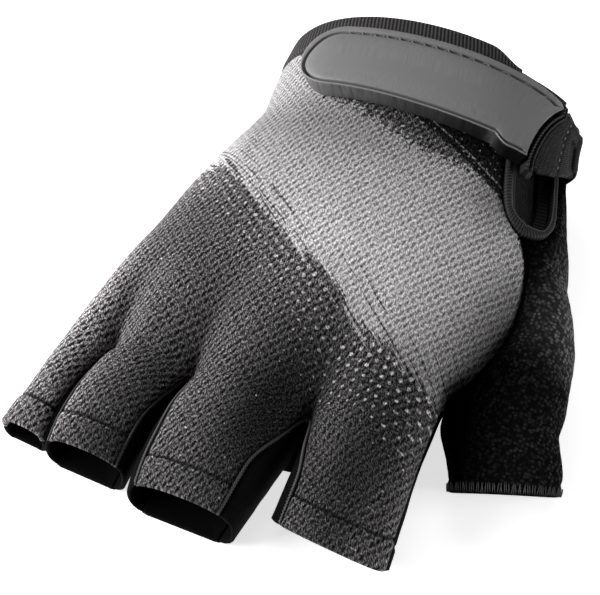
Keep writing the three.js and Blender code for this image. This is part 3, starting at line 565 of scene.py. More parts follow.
def cut(piece):
    """One cut piece of cloth: its welded points, faces, places on the flat cloth, and how far each point lies
    from a seam and from a hem."""
    grids = [g for g in NET if g.piece == piece]
    points = np.concatenate([g.points.reshape(-1, 3) for g in grids])
    first, ids = weld(points)
    faces, at = [], 0
    for g in grids:
        count = g.points.shape[0] * g.points.shape[1]
        faces += grid_faces(ids[at:at + count].reshape(g.points.shape[:2]), g.flip)
        at += count
    pick = lambda name, size: np.concatenate([getattr(g, name).reshape(-1, size) for g in grids])[first]
    cloth = SimpleNamespace(points=points[first], normals=pick("normals", 3), places=pick("places", 2),
                            faces=faces, rim=rim_of(faces))
    hem = np.zeros(len(first), bool)
    flags = np.concatenate([g.hem.ravel() for g in grids])
    np.logical_or.at(hem, ids, flags)
    on_rim = np.zeros(len(first), bool)
    on_rim[list({i for edge in cloth.rim for i in edge})] = True
    sewn_edges = [e for e in cloth.rim if not (hem[e[0]] and hem[e[1]])]
    on_seam = sorted({i for edge in sewn_edges for i in edge})
    cloth.to_hem = nearest(cloth.points, cloth.points[hem & on_rim])
    cloth.to_seam = nearest(cloth.points, cloth.points[on_seam])
    cloth.away = outward(cloth.points, cloth.normals, cloth.rim)
    return cloth


def make_object(name, verts, faces, material, attributes=None, slot=None, replaces=()):
    """A smooth-shaded mesh object in metres, in the part's frame, that rides on the glove."""
    mesh = bpy.data.meshes.new(name)
    mesh.from_pydata(((verts - ORIGIN) * MM).tolist(), [], faces)
    mesh.validate()
    mesh.polygons.foreach_set("use_smooth", np.ones(len(mesh.polygons), bool))
    for key, values in (attributes or {}).items():
        flat = np.zeros((len(verts), 3), np.float32)
        # A single value fills all three places
        flat[:, :values.shape[1] if values.ndim == 2 else 3] = values if values.ndim == 2 else values[:, None]
        mesh.attributes.new(key, "FLOAT_VECTOR", "POINT").data.foreach_set("vector", flat.ravel())
    mesh.materials.append(material)
    obj = bpy.data.objects.new(name, mesh)
    bpy.context.scene.collection.objects.link(obj)
    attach(obj, "root")
    if replaces:
        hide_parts(*replaces)
    return obj


def slab(faces, outer, inner, bulge):
    """A closed body between two copies of an open sheet, with a rounded rim."""
    count = len(outer)
    rim = rim_of(faces)
    away = outward(outer, unit(outer - inner), rim)
    ids = sorted({i for edge in rim for i in edge})
    middle = {i: 2 * count + k for k, i in enumerate(ids)}
    round_rim = (outer[ids] + inner[ids]) / 2 + away[ids] * bulge
    out = list(faces)
    out += [tuple(i + count for i in reversed(f)) for f in faces]
    for a, b in rim:
        out.append((a, middle[a], middle[b], b))
        out.append((middle[a], a + count, b + count, middle[b]))
    return np.concatenate([outer, inner, round_rim]), out, ids


def make_slab(name, sheet, outer, inner, bulge, material, slot, replaces=(), values=None):
    """Makes a closed body between two copies of an open sheet, with its places on the flat cloth."""
    verts, faces, ids = slab(sheet.faces, outer, inner, bulge)
    values = {"cloth": sheet.places.reshape(-1, 2), **(values or {})}
    attributes = {key: np.concatenate([value, value, value[ids]]) for key, value in values.items()}
    make_object(name, verts, faces, material, attributes, slot, replaces)


def ripple(points, size, seed):
    """Smooth unevenness from -1 to 1, with bumps of about a size in mm."""
    shift = Vector((seed * 17.3, seed * 5.1, seed * 9.7))
    return np.array([noise.noise(Vector(p) / size + shift) for p in points])


def sewn(d, depth, width, puff):
    """How cloth dips into a seam and puffs beside it, by the distance from the seam."""
    return -depth * bell(d, width) + puff * bell(d - 2.6 * width, 1.3 * width)


def hemmed(d, width, fold, groove):
    """The extra thickness of a turned hem, with the dip of its stitch line."""
    return fold * ease((width + 0.3 - d) / 0.9) - groove * bell(d - width, 0.55)


def ovals(points, rows):
    """The sum of soft ovals in plan, each with its own amount."""
    out = np.zeros(len(points))
    for x, y, long, short, turn, amount in zip(*rows.values()):
        a = math.radians(turn)
        dx, dy = points[:, 0] - x, points[:, 1] - y
        along = dx * math.cos(a) + dy * math.sin(a)
        across = dy * math.cos(a) - dx * math.sin(a)
        out += amount * bell(along, long) * bell(across, short)
    return out


# Dents and soft folds of the worn cloth: x and y in plan, radii along and across, turn and depth
DENTS = table("x y long short turn depth", [
    (31, -52.5, 10, 2.6, 8, 0.8),
    (40, -50, 7, 2.2, -20, 0.6),
    (26, -47, 8, 2.4, 25, -0.35),
    (4, -57, 10, 2.4, -14, 0.45),
    (-30, -54, 7, 2.0, -10, 0.4),
    (-48, -52, 6, 1.8, -20, 0.4),
    (-26, -32, 9, 2.6, 80, 0.5),
    (3, -31, 8, 3.0, 84, 0.35),
    (49, -8, 12, 2.6, 58, 0.8),
    (54, 2, 14, 3.0, 66, 0.6),
    (-16, 64, 18, 3.0, 4, 0.5),
    (14, 62, 20, 3.2, -6, 0.5),
])


# Painted light and shade on the mesh: paler on the left flank and the fingers' left sides, where the light
# from the left falls, darker on their right sides and in the valleys between the knuckles: x and y in plan,
# radii along and across, turn, and stops
PAINTED_LIGHT_AND_SHADE = table("x y long short turn stops", [
    (-49, -18, 30, 8, 88, 2.3),
    (-55, -52, 14, 6, 85, 0.9),
    (-42, -52, 15, 4, 82, 1.2),
    (-35, -24, 20, 5, 85, 0.4),
    (-26, -60, 17, 6.5, 86, -2.0),
    (-22, -38, 11, 4.5, 86, -0.9),
    (9, -42, 25, 9, 84, -2.4),
    (36, -46, 25, 8, 86, -2.4),
    (20, -50, 16, 6, 84, -1.0),
    (27, -24, 9, 9, 30, -0.8),
    (-38, 24, 16, 9, 86, 0.7),
    (4, 4, 26, 18, 0, 0.55),
    (50, 2, 20, 6, 80, -1.2),
    (-17, -48, 15, 3.5, 88, 0.9),
    (7, -41, 14, 6.0, 84, -1.4),
    (-4, 41, 34, 9, 0, -0.7),
    (42, 36, 9, 8, 0, -1.2),
    (-32, 18, 14, 6, 0, 0.3),
    (56, 2, 13, 3.5, 90, -1.8),
])


def smooth_line(stops, count=60):
    """A drawn line in plan through its stops."""
    stops = np.array(stops, float)
    run = lengths(stops)
    columns = {"run": run, "x": stops[:, 0], "y": stops[:, 1]}
    at = np.linspace(0, run[-1], count)
    return np.stack([smooth(columns, "x")(at), smooth(columns, "y")(at)], -1)


def beside(points, line):
    """How far along a drawn line each point lies, and how far to its left."""
    a, b = line[:-1], line[1:]
    run = b - a
    size = np.linalg.norm(run, axis=1)
    t = ((points[:, None, :2] - a) * run).sum(-1) / size ** 2
    # The line goes on straight beyond its ends
    low = np.where(np.arange(len(a)) == 0, -99, 0)
    high = np.where(np.arange(len(a)) == len(a) - 1, 99, 1)
    t = np.clip(t, low, high)
    gap = points[:, None, :2] - (a + t[..., None] * run)
    k = np.linalg.norm(gap, axis=-1).argmin(1)
    rows = np.arange(len(points))
    g, r = gap[rows, k], run[k]
    left = np.sign(r[:, 0] * g[:, 1] - r[:, 1] * g[:, 0])
    start = lengths(line)[:-1]
    return start[k] + t[rows, k] * size[k], left * np.linalg.norm(g, axis=-1)


# The printed band in plan: its ragged edge towards the fingers, and its edge towards the slit
BAND_EDGE = smooth_line([(-50, 22), (-36, 23.6), (-31.2, 23.6), (-19.8, 14.9), (-0.9, 2.1), (18.9, -10.6),
                         (32.7, -16), (44.7, -19.5), (60, -19)])
SLIT_EDGE = smooth_line([(-24, 64), (7, 51.6), (15.4, 47.7), (23.7, 44.1), (32.7, 39.8), (41.2, 35.5),
                         (45.6, 31.5), (51.1, 25.4), (58, 14)])

ATTRIBUTE = "ShaderNodeAttribute"
PLACE = "ShaderNodeTexCoord"
MATH = "ShaderNodeMath"
VECTOR = "ShaderNodeVectorMath"
NOISE = "ShaderNodeTexNoise"
VORONOI = "ShaderNodeTexVoronoi"
WHITE = "ShaderNodeTexWhiteNoise"
RANGE = "ShaderNodeMapRange"
MIX = "ShaderNodeMix"
SPLIT = "ShaderNodeSeparateXYZ"
JOIN = "ShaderNodeCombineXYZ"
BUMP = "ShaderNodeBump"


def linear(code):
    """An sRGB hex colour as linear values."""
    parts = [int(code[i:i + 2], 16) / 255 for i in (1, 3, 5)]
    return tuple(c / 12.92 if c <= 0.04045 else ((c + 0.055) / 1.055) ** 2.4 for c in parts)


def put(tree, kind, inputs=(), output=0, **settings):
    """Adds a node with its settings. Each input is a value or another node's output, in order or by name."""
    node = tree.nodes.new(kind)
    for name, value in settings.items():
        setattr(node, name, value)
    for key, value in inputs.items() if isinstance(inputs, dict) else enumerate(inputs):
        if isinstance(value, bpy.types.NodeSocket):
            tree.links.new(value, node.inputs[key])
        else:
            node.inputs[key].default_value = value
    return node.outputs[output]


def start_material(name, **values):
    """A material with values set on its Principled shader's own sockets, and put for its node tree."""
    material = bpy.data.materials.new(name)
    material.use_nodes = True
    shader = material.node_tree.nodes["Principled BSDF"]
    for key, value in values.items():
        socket = shader.inputs[key.replace("_", " ")]
        socket.default_value = (*value, 1) if isinstance(value, tuple) else value
    return SimpleNamespace(material=material, shader=shader), partial(put, material.node_tree)


def finish(look, add, ground, tone, relief=None, **links):
    """Colours a material by its ground and a tone. A relief is a height, a strength and a depth in metres."""
    links["Base_Color"] = add(VECTOR, {0: ground, "Scale": tone}, operation="SCALE")
    if relief:
        links["Normal"] = add(BUMP, dict(zip(("Height", "Strength", "Distance"), relief)))
    for name, value in links.items():
        look.material.node_tree.links.new(value, look.shader.inputs[name.replace("_", " ")])
    return look.material


def staggered(add, place, across, along, shift):
    """Splits cloth into cells, each column moved on by a share of a cell. Gives the place from its middle
    in mm, and the cell's number."""
    scaled = add(VECTOR, [place, (1 / across, 1 / along, 1)], operation="MULTIPLY")
    x, y, _ = add(SPLIT, [scaled]).node.outputs
    column = add(MATH, [x], operation="FLOOR")
    moved = add(JOIN, [x, add(MATH, [column, shift, y], operation="MULTIPLY_ADD")])
    cell = add(VECTOR, [moved], operation="FLOOR")
    inside = add(VECTOR, [moved], operation="FRACTION")
    local = add(VECTOR, [inside, (across, along, 0), (-across / 2, -along / 2, 0)], operation="MULTIPLY_ADD")
    return local, cell


def spot(add, local, across, along, slant, soft):
    """1 inside a slanted oval round a cell's middle and 0 outside it, with a soft edge."""
    x, y, _ = add(SPLIT, [local]).node.outputs
    sheared = add(JOIN, [add(MATH, [y, slant, x], operation="MULTIPLY_ADD"), y])
    oval = add(VECTOR, [sheared, (1 / across, 1 / along, 0)], operation="MULTIPLY")
    reach = add(VECTOR, [oval], "Value", operation="LENGTH")
    return add(RANGE, {"Value": reach, "From Min": 1 + soft, "From Max": 1 - soft},
               interpolation_type="SMOOTHSTEP")


def knitted(add, place):
    """The air mesh's yarns and holes: how bright the yarn lies, and where a hole is."""
    drift = add(NOISE, {"Vector": place, "Scale": 0.3, "Detail": 1.0}, "Color", noise_dimensions="2D")
    eased = add(VECTOR, [drift, (0.2, 0.3, 0), place], operation="MULTIPLY_ADD")
    # The courses of the knit climb towards the thumb, 0.2 mm in each mm
    x, y, _ = add(SPLIT, [eased]).node.outputs
    climb = add(MATH, [x, -0.2, y], operation="MULTIPLY_ADD")
    laid = add(JOIN, [x, climb])
    # Yarns of 0.5 mm run along the hand and show for about 1.2 mm between two crossings
    slanted = add(VECTOR, [laid, (1.0, 0.3, 0)], "Value", operation="DOT_PRODUCT")
    yarn_at = add(JOIN, [add(MATH, [slanted, 3.3], operation="MULTIPLY"),
                         add(MATH, [climb, 1.5], operation="MULTIPLY")])
    yarn = add(NOISE, {"Vector": yarn_at, "Scale": 1.0, "Detail": 1.0, "Roughness": 0.7}, "Fac",
               noise_dimensions="2D")
    fleck = add(RANGE, {"Value": yarn, "From Min": 0.36, "From Max": 0.68})
    # The holes stand in columns 1.2 mm apart, one each 2.8 mm, every second column half a step on
    local, cell = staggered(add, laid, 1.2, 2.8, 0.5)
    chance = add(WHITE, {"Vector": cell}, "Value", noise_dimensions="2D")
    deep = add(MATH, [chance, 0.5, 0.7], operation="MULTIPLY_ADD")
    hole = add(MATH, [spot(add, local, 0.42, 0.95, -0.22, 0.5), deep], operation="MULTIPLY", use_clamp=True)
    return fleck, hole


def brushed_band(add, across, to_slit, grain, coarse):
    """The printed band: 1 on its ink, by the distances from its ragged edge and from its slit edge."""
    # Brush strokes run along the band's edge, about 1 mm wide and 20 mm long
    stroke = add(ATTRIBUTE, (), "Vector", attribute_name="stroke")
    brush_at = add(VECTOR, [stroke, (0.055, 0.8, 0)], operation="MULTIPLY")
    brush = add(NOISE, {"Vector": brush_at, "Scale": 1.0, "Detail": 3.0, "Roughness": 0.6}, "Fac",
                noise_dimensions="2D")
    hair_at = add(VECTOR, [stroke, (0.035, 1.5, 0)], operation="MULTIPLY")
    hair = add(NOISE, {"Vector": hair_at, "Scale": 1.0, "Detail": 1.0}, "Fac", noise_dimensions="2D")
    centred = add(MATH, [grain, 0.5], operation="SUBTRACT")
    swept = add(MATH, [brush, 0.5], operation="SUBTRACT")
    ragged = add(MATH, [swept, 15.0, across], operation="MULTIPLY_ADD")
    ragged = add(MATH, [centred, 1.6, ragged], operation="MULTIPLY_ADD")
    lower = add(RANGE, {"Value": ragged, "From Min": -0.4, "From Max": 0.4})
    fray = add(MATH, [centred, 3.0, to_slit], operation="MULTIPLY_ADD")
    upper = add(RANGE, {"Value": fray, "From Min": -0.3, "From Max": 0.4})
    band = add(MATH, [lower, upper], operation="MULTIPLY")
    # Single hairs of the brush left bare lines near the band's ragged edge
    inward = add(MATH, [across, 0.012, hair], operation="MULTIPLY_ADD")
    filled = add(RANGE, {"Value": inward, "From Min": 0.37, "From Max": 0.43, "To Min": 0.15})
    band = add(MATH, [band, filled], operation="MULTIPLY")
    # Towards the tab the band breaks up into single yarns
    fade = add(ATTRIBUTE, (), "Fac", attribute_name="fade")
    broken = add(MATH, [add(MATH, [coarse, 1.5], operation="MULTIPLY"), fade], operation="SUBTRACT")
    kept = add(RANGE, {"Value": broken, "From Min": -0.05, "From Max": 0.3})
    return add(MATH, [band, kept], operation="MULTIPLY")


def band_dots(add, along, across):
    """Dots of 0.9 mm that stand in rows beside the band and get smaller away from it."""
    dot_at = add(JOIN, [across, along])
    local, _ = staggered(add, dot_at, 2.5, 2.6, 0.5)
    patch = add(NOISE, {"Vector": dot_at, "Scale": 0.045, "Detail": 0.0}, "Fac", noise_dimensions="2D")
    # Their field is 17 mm deep beside the middle finger and 27 mm deep above the index finger
    depth = add(RANGE, {"Value": along, "From Min": 74.0, "From Max": 92.0, "To Min": 17.0, "To Max": 27.0})
    near = add(RANGE, {"Value": add(MATH, [across, depth], operation="DIVIDE"),
                       "From Min": -1.0, "From Max": 0.0, "To Min": 0.1, "To Max": 0.66})
    here = add(RANGE, {"Value": across, "From Min": 1.6, "From Max": 0.0})
    big = add(RANGE, {"Value": patch, "From Min": 0.25, "From Max": 0.5})
    reach = add(VECTOR, [local], "Value", operation="LENGTH")
    inside = add(MATH, [add(MATH, [near, big], operation="MULTIPLY"), reach], operation="SUBTRACT")
    dots = add(RANGE, {"Value": inside, "From Min": -0.1, "From Max": 0.15, "To Max": 0.9})
    return add(MATH, [dots, here], operation="MULTIPLY")


def slit_marks(add, place, to_slit, coarse):
    """The thin line that follows the band towards the slit, and small faint dots on the mesh beyond it."""
    gap = add(MATH, [add(MATH, [to_slit, -2.4], operation="SUBTRACT")], operation="ABSOLUTE")
    line = add(RANGE, {"Value": gap, "From Min": 0.34, "From Max": 0.1, "To Max": 0.75})
    broken = add(RANGE, {"Value": coarse, "From Min": 0.35, "From Max": 0.6})
    line = add(MATH, [line, broken], operation="MULTIPLY")
    local, cell = staggered(add, place, 1.9, 2.1, 0.5)
    chance = add(WHITE, {"Vector": cell}, "Value", noise_dimensions="2D")
    faint = add(MATH, [spot(add, local, 0.3, 0.3, 0.0, 0.3), chance], operation="MULTIPLY")
    beyond = add(RANGE, {"Value": to_slit, "From Min": 0.0, "From Max": -1.0, "To Max": 0.45})
    return line, add(MATH, [faint, beyond], operation="MULTIPLY")


def hem_shade_and_wear(add, shade, coarse, hem_width):
    """The hem's stitch line is darkened as painted shade in its groove, and the fold beside it is worn pale.
    """
    to_hem = add(ATTRIBUTE, (), "Fac", attribute_name="to_hem")
    past = add(MATH, [to_hem, hem_width], operation="SUBTRACT")
    # The dark line along the stitches is painted shade
    crease_shade = add(RANGE, {"Value": add(MATH, [past], operation="ABSOLUTE"), "From Min": 0.7, "From Max": 0.25})
    tone_shift = add(RANGE, {"Value": add(MATH, [past, 1.1], operation="ADD"), "From Min": 0.0, "From Max": 0.5})
    before = add(RANGE, {"Value": past, "From Min": 0.0, "From Max": -0.4})
    tone_shift = add(MATH, [tone_shift, before], operation="MULTIPLY")
    patchy = add(RANGE, {"Value": coarse, "From Min": 0.4, "From Max": 0.6})
    pale = add(MATH, [add(MATH, [tone_shift, patchy], operation="MULTIPLY"), 1.1, 1.0], operation="MULTIPLY_ADD")
    shade = add(MATH, [shade, pale], operation="MULTIPLY")
    return add(MATH, [shade, add(MATH, [crease_shade, -0.85, 1.0], operation="MULTIPLY_ADD")], operation="MULTIPLY")


def printed_air_mesh(colours, hem_width):
    """Polyester air mesh, warp-knitted with slanted holes and printed: a matt cloth whose yarns catch light
    one by one, dark in its holes, with a worn grey band brushed across it."""
    look, add = start_material("printed_air_mesh", Roughness=0.75, IOR=1.5)
    place = add(ATTRIBUTE, (), "Vector", attribute_name="cloth")
    fleck, hole = knitted(add, place)
    print_at = add(ATTRIBUTE, (), "Vector", attribute_name="print")
    along, across, to_slit = add(SPLIT, [print_at]).node.outputs
    grain = add(NOISE, {"Vector": place, "Scale": 1.6, "Detail": 2.0}, "Fac", noise_dimensions="2D")
    coarse = add(NOISE, {"Vector": place, "Scale": 0.8, "Detail": 2.0}, "Fac", noise_dimensions="2D")
    dots = band_dots(add, along, across)
    printed = brushed_band(add, across, to_slit, grain, coarse)
    for mark in (dots, *slit_marks(add, place, to_slit, coarse)):
        printed = add(MATH, [printed, mark], operation="MAXIMUM")

    # Beyond the thin line the mesh is printed near black, and the strap's shadow is painted into the same
    # colour
    day = add(RANGE, {"Value": to_slit, "From Min": -0.6, "From Max": 0.6})
    ground = add(MIX, {"Factor": day, 6: (*colours.night_and_strap_shadow, 1), 7: (*colours.charcoal, 1)}, 2, data_type="RGBA")
    ground = add(MIX, {"Factor": printed, 6: ground, 7: (*colours.print_grey, 1)}, 2, data_type="RGBA")
    lit = add(MATH, [fleck, 1.5], operation="POWER")
    bare = add(RANGE, {"Value": lit, "To Min": 0.25, "To Max": 4.2})
    inked = add(RANGE, {"Value": fleck, "To Min": 0.45, "To Max": 1.65})
    mottle = add(RANGE, {"Value": grain, "From Min": 0.3, "From Max": 0.7, "To Min": 0.85, "To Max": 1.15})
    # The painted light and shade of the tone attribute leave the dots as bright as they were
    tone = add(MIX, {"Factor": dots, 2: add(ATTRIBUTE, (), "Fac", attribute_name="tone"), 3: 1.1})
    # Ink fills part of the holes
    deep = add(MIX, {"Factor": printed, 2: -0.96, 3: -0.66})
    less = add(MATH, [hole, deep, 1.0], operation="MULTIPLY_ADD")
    shade = add(MIX, {"Factor": printed, 2: bare, 3: inked})
    for part in (mottle, tone, less):
        shade = add(MATH, [shade, part], operation="MULTIPLY")
    shade = hem_shade_and_wear(add, shade, coarse, hem_width)
    # Only the yarns' crests shine, the gaps between them are too deep to
    shine = add(MATH, [fleck, 0.3], operation="MULTIPLY")
    height = add(MATH, [hole, -1.4, fleck], operation="MULTIPLY_ADD")
    return finish(look, add, ground, shade, (height, 0.4, 0.00035), Specular_IOR_Level=shine)


def palm_suede(colours):
    """Synthetic suede, brushed: deep black with a faint soft nap."""
    look, add = start_material("brushed_suede", Roughness=0.95, IOR=1.45, Specular_IOR_Level=0.08)
    place = add(ATTRIBUTE, (), "Vector", attribute_name="cloth")
    nap = add(NOISE, {"Vector": place, "Scale": 3.0, "Detail": 4.0, "Roughness": 0.7}, "Fac")
    cloud = add(NOISE, {"Vector": place, "Scale": 0.12, "Detail": 2.0}, "Fac")
    both = add(MATH, [nap, cloud], operation="MULTIPLY")
    tone = add(RANGE, {"Value": both, "From Min": 0.1, "From Max": 0.4, "To Min": 0.6, "To Max": 1.5})
    return finish(look, add, colours.suede, tone, (nap, 0.35, 0.0002))


def thumb_towelling(colours):
    """Terry towelling with a short looped pile: black, with curls that catch a little light."""
    look, add = start_material("looped_towelling", Roughness=0.85, IOR=1.5)
    place = add(PLACE, (), "Object")
    # Loops stand about 1 mm apart
    knot = add(VORONOI, {"Vector": place, "Scale": 950.0, "Randomness": 0.7}, "Distance")
    cloud = add(NOISE, {"Vector": place, "Scale": 420.0, "Detail": 2.0}, "Fac")
    loop = add(RANGE, {"Value": knot, "From Min": 0.6, "From Max": 0.15})
    cloud = add(RANGE, {"Value": cloud, "From Min": 0.3, "From Max": 0.7})
    loop = add(MATH, [loop, cloud], operation="MULTIPLY")
    tone = add(RANGE, {"Value": loop, "To Min": 0.75, "To Max": 2.1})
    # The tone attribute is painted light and shade, and it scales the loops' shine too
    tone_shift = add(ATTRIBUTE, (), "Fac", attribute_name="tone")
    tone = add(MATH, [tone, tone_shift], operation="MULTIPLY")
    shine = add(MATH, [add(MATH, [loop, tone_shift], operation="MULTIPLY"), 0.2], operation="MULTIPLY")
    return finish(look, add, colours.towelling, tone, (loop, 0.8, 0.0005), Specular_IOR_Level=shine)


def stretch_knit(colours):
    """Smooth elastane knit: plain black with fine columns of stitches."""
    look, add = start_material("elastane_knit", Roughness=0.8, IOR=1.5, Specular_IOR_Level=0.06)
    place = add(ATTRIBUTE, (), "Vector", attribute_name="cloth")
    local, _ = staggered(add, place, 0.7, 0.8, 0.5)
    loop = spot(add, local, 0.26, 0.42, 0.3, 0.5)
    tone = add(RANGE, {"Value": loop, "To Min": 0.7, "To Max": 1.5})
    return finish(look, add, colours.stretch, tone, (loop, 0.5, 0.0002))


def ribbed_elastic(name, colours, pitch, gain=1.0):
    """Woven elastic band: charcoal ribs that shine a little along their crests, with fine yarns across."""
    look, add = start_material(name, Roughness=0.68, IOR=1.5, Specular_IOR_Level=0.2)
    place = add(ATTRIBUTE, (), "Vector", attribute_name="cloth")
    turns = add(MATH, [add(SPLIT, [place]), 2 * math.pi / pitch], operation="MULTIPLY")
    wave = add(MATH, [turns], operation="COSINE")
    yarn_at = add(VECTOR, [place, (1.2, 3.4, 1)], operation="MULTIPLY")
    yarn = add(NOISE, {"Vector": yarn_at, "Scale": 1.0, "Detail": 2.0}, "Fac")
    crest = add(RANGE, {"Value": wave, "From Min": -0.6, "From Max": 1.0, "To Min": 0.25 * gain,
                        "To Max": 1.5 * gain})
    grain = add(RANGE, {"Value": yarn, "From Min": 0.3, "From Max": 0.7, "To Min": 0.6, "To Max": 1.4})
    tone = add(MATH, [crest, grain], operation="MULTIPLY")
    return finish(look, add, colours.elastic, tone, (yarn, 0.4, 0.0002))


def strap_knit(colours):
    """Firm double knit of the strap: near black with slanted fine ribs."""
    look, add = start_material("double_knit", Roughness=0.75, IOR=1.5, Specular_IOR_Level=0.15)
    place = add(ATTRIBUTE, (), "Vector", attribute_name="cloth")
    local, cell = staggered(add, place, 1.25, 0.72, 0.33)
    chance = add(WHITE, {"Vector": cell}, "Value", noise_dimensions="2D")
    bright = add(MATH, [chance, 0.9, 0.4], operation="MULTIPLY_ADD")
    loop = add(MATH, [spot(add, local, 0.56, 0.2, -0.1, 0.6), bright], operation="MULTIPLY")
    tone = add(RANGE, {"Value": loop, "To Min": 0.45, "To Max": 2.1})
    return finish(look, add, colours.strap, tone, (loop, 0.6, 0.0003))


def moulded_rubber(colours):
    """Thermoplastic rubber, moulded matt: a soft even grey with draw marks down its side wall."""
    look, add = start_material("matt_moulded_rubber", Roughness=0.5, IOR=1.52)
    place = add(ATTRIBUTE, (), "Vector", attribute_name="cloth")
    along, up, wall = add(SPLIT, [place]).node.outputs
    drawn = add(JOIN, [add(MATH, [along, 1.3], operation="MULTIPLY"),
                       add(MATH, [up, 0.12], operation="MULTIPLY")])
    marks = add(NOISE, {"Vector": drawn, "Scale": 1.0, "Detail": 4.0, "Roughness": 0.65}, "Fac",
                noise_dimensions="2D")
    fine = add(NOISE, {"Vector": place, "Scale": 3.5, "Detail": 2.0}, "Fac")
    on_wall = add(RANGE, {"Value": wall, "From Min": 0.2, "From Max": 0.8})
    streak = add(RANGE, {"Value": marks, "From Min": 0.25, "From Max": 0.75, "To Min": 0.45, "To Max": 1.35})
    speck = add(RANGE, {"Value": fine, "From Min": 0.3, "From Max": 0.7, "To Min": 0.86, "To Max": 1.14})
    # The tone attribute paints light and shade on the wall, and it scales the rubber's shine too
    wall_light_and_shade = add(ATTRIBUTE, (), "Fac", attribute_name="tone")
    tone = add(MATH, [add(MIX, {"Factor": on_wall, 2: 1.0, 3: streak}), speck], operation="MULTIPLY")
    tone = add(MATH, [tone, wall_light_and_shade], operation="MULTIPLY")
    shine = add(MATH, [wall_light_and_shade, 0.5], operation="MULTIPLY", use_clamp=True)
    rough = add(RANGE, {"Value": fine, "From Min": 0.3, "From Max": 0.7, "To Min": 0.46, "To Max": 0.58})
    height = add(MIX, {"Factor": on_wall, 2: fine, 3: marks})
    return finish(look, add, colours.rubber, tone, (height, 0.22, 0.0002), Specular_IOR_Level=shine,
                  Roughness=rough)


def hook_and_loop(colours):
    """Nylon hook and loop tape: black and fuzzy, with a dense field of tiny hooks."""
    look, add = start_material("hook_and_loop_tape", Roughness=0.85, Sheen_Weight=0.2, IOR=1.53)
    hooks = add(VORONOI, {"Vector": add(PLACE, (), "Object"), "Scale": 900.0}, "Distance")
    tone = add(RANGE, {"Value": hooks, "From Max": 0.7, "To Min": 1.6, "To Max": 0.5})
    return finish(look, add, colours.strap, tone, (hooks, 0.6, 0.0004))


def sewing_thread(name, ground):
    """Twisted polyester thread: a soft shine broken by its twist."""
    look, add = start_material(name, Roughness=0.55, IOR=1.5, Sheen_Weight=0.2)
    twist = add(NOISE, {"Vector": add(PLACE, (), "Object"), "Scale": 2600.0, "Detail": 1.0}, "Fac")
    tone = add(RANGE, {"Value": twist, "From Min": 0.3, "From Max": 0.7, "To Min": 0.6, "To Max": 1.3})
    return finish(look, add, ground, tone)


def length_setting(name, description, default):
    return bpy.props.FloatProperty(name=name, description=description, default=default, unit="LENGTH",
                                   subtype="DISTANCE")


def colour_setting(name, description, code):
    return bpy.props.FloatVectorProperty(name=name, description=description, default=linear(code),
                                         subtype="COLOR", min=0, max=1, size=3)


class GloveSizes(bpy.types.PropertyGroup):
    """Sizes of the sewn details."""

    hem_width: length_setting("Hem width", "Width of the turned hem of each finger", 0.008)
    hem_fold: length_setting("Hem fold", "How far a turned hem stands proud", 0.0003)
    thumb_hem: length_setting("Thumb hem", "Width of the thumb's overlocked hem", 0.0028)
    seam_depth: length_setting("Seam depth", "How far cloth dips into a seam", 0.0006)
    wrinkle: length_setting("Wrinkle depth", "Depth of the cloth's unevenness", 0.0004)
    rib_pitch: length_setting("Rib pitch", "From one rib of the wrist band to the next", 0.00105)
    rib_height: length_setting("Rib height", "Height of the wrist band's ribs", 0.00028)
    stitch_pitch: length_setting("Stitch pitch", "From one stitch of a seam to the next", 0.00085)
    thread: length_setting("Thread width", "Width of the sewing thread", 0.00042)


class GloveColours(bpy.types.PropertyGroup):
    """Colours of the cloths, the print, the threads and the rubber."""

    charcoal: colour_setting("Charcoal", "Unprinted air mesh", "#4A4849")
    # The black print beside the slit, with the strap's painted shadow on it
    night_and_strap_shadow: colour_setting("Night", "Air mesh beside the wrist slit", "#080808")
    print_grey: colour_setting("Print grey", "Printed band on the back", "#B4B2B3")
    suede: colour_setting("Suede", "Palm", "#060606")
    towelling: colour_setting("Towelling", "Thumb", "#080808")
    stretch: colour_setting("Stretch knit", "Gussets between the fingers", "#050505")
    elastic: colour_setting("Elastic", "Wrist band, slit tape and lit seam cords", "#3C3A3A")
    rubber: colour_setting("Rubber", "Closure tab", "#6E6D6E")
    strap: colour_setting("Strap knit", "Closure strap", "#1E1E1E")
    pale_thread: colour_setting("Pale thread", "Stitches of the tab and the strap", "#6E6C6D")
    dark_thread: colour_setting("Dark thread", "Finger seams and the thumb's overlock", "#1C1C1C")


def sizes_mm():
    """The sizes in millimetres, as the surface's tables use them."""
    group = bpy.context.scene.glove_sizes
    return SimpleNamespace(**{name: getattr(group, name) / MM for name in GloveSizes.__annotations__})


def colour_set():
    group = bpy.context.scene.glove_colours
    return SimpleNamespace(**{name: tuple(getattr(group, name)) for name in GloveColours.__annotations__})


def sew(node, cloth, lift, thickness, bulge, material, slot, values=None):
    """Makes a cut piece of cloth in place of its node, as a closed wall with a rounded rim."""
    drawn_in = cloth.away * (SEWN_GAP / 2)
    outer = cloth.points + cloth.normals * lift[:, None] - drawn_in
    outer[:, 2] = np.maximum(outer[:, 2], TABLE + 0.02)
    inner = cloth.points - cloth.normals * thickness - drawn_in
    inner[:, 2] = np.maximum(inner[:, 2], TABLE + 0.01)
    make_slab(f"{node}_cloth", cloth, outer, inner, bulge, material, slot, (node,), values)


def base_lift(cloth, s):
    """The lift of a cloth's outside: its seams, its wrinkles and its dents."""
    wrinkles = ripple(cloth.points, 19, 1) + 0.35 * ripple(cloth.points, 6.5, 2)
    lift = sewn(cloth.to_seam, s.seam_depth, 0.9, 0.22) + s.wrinkle * wrinkles * ease(cloth.to_seam / 3)
    return lift - ovals(cloth.points, DENTS) * ease((cloth.points[:, 2] - 4) / 6) * ease(cloth.to_seam / 2)


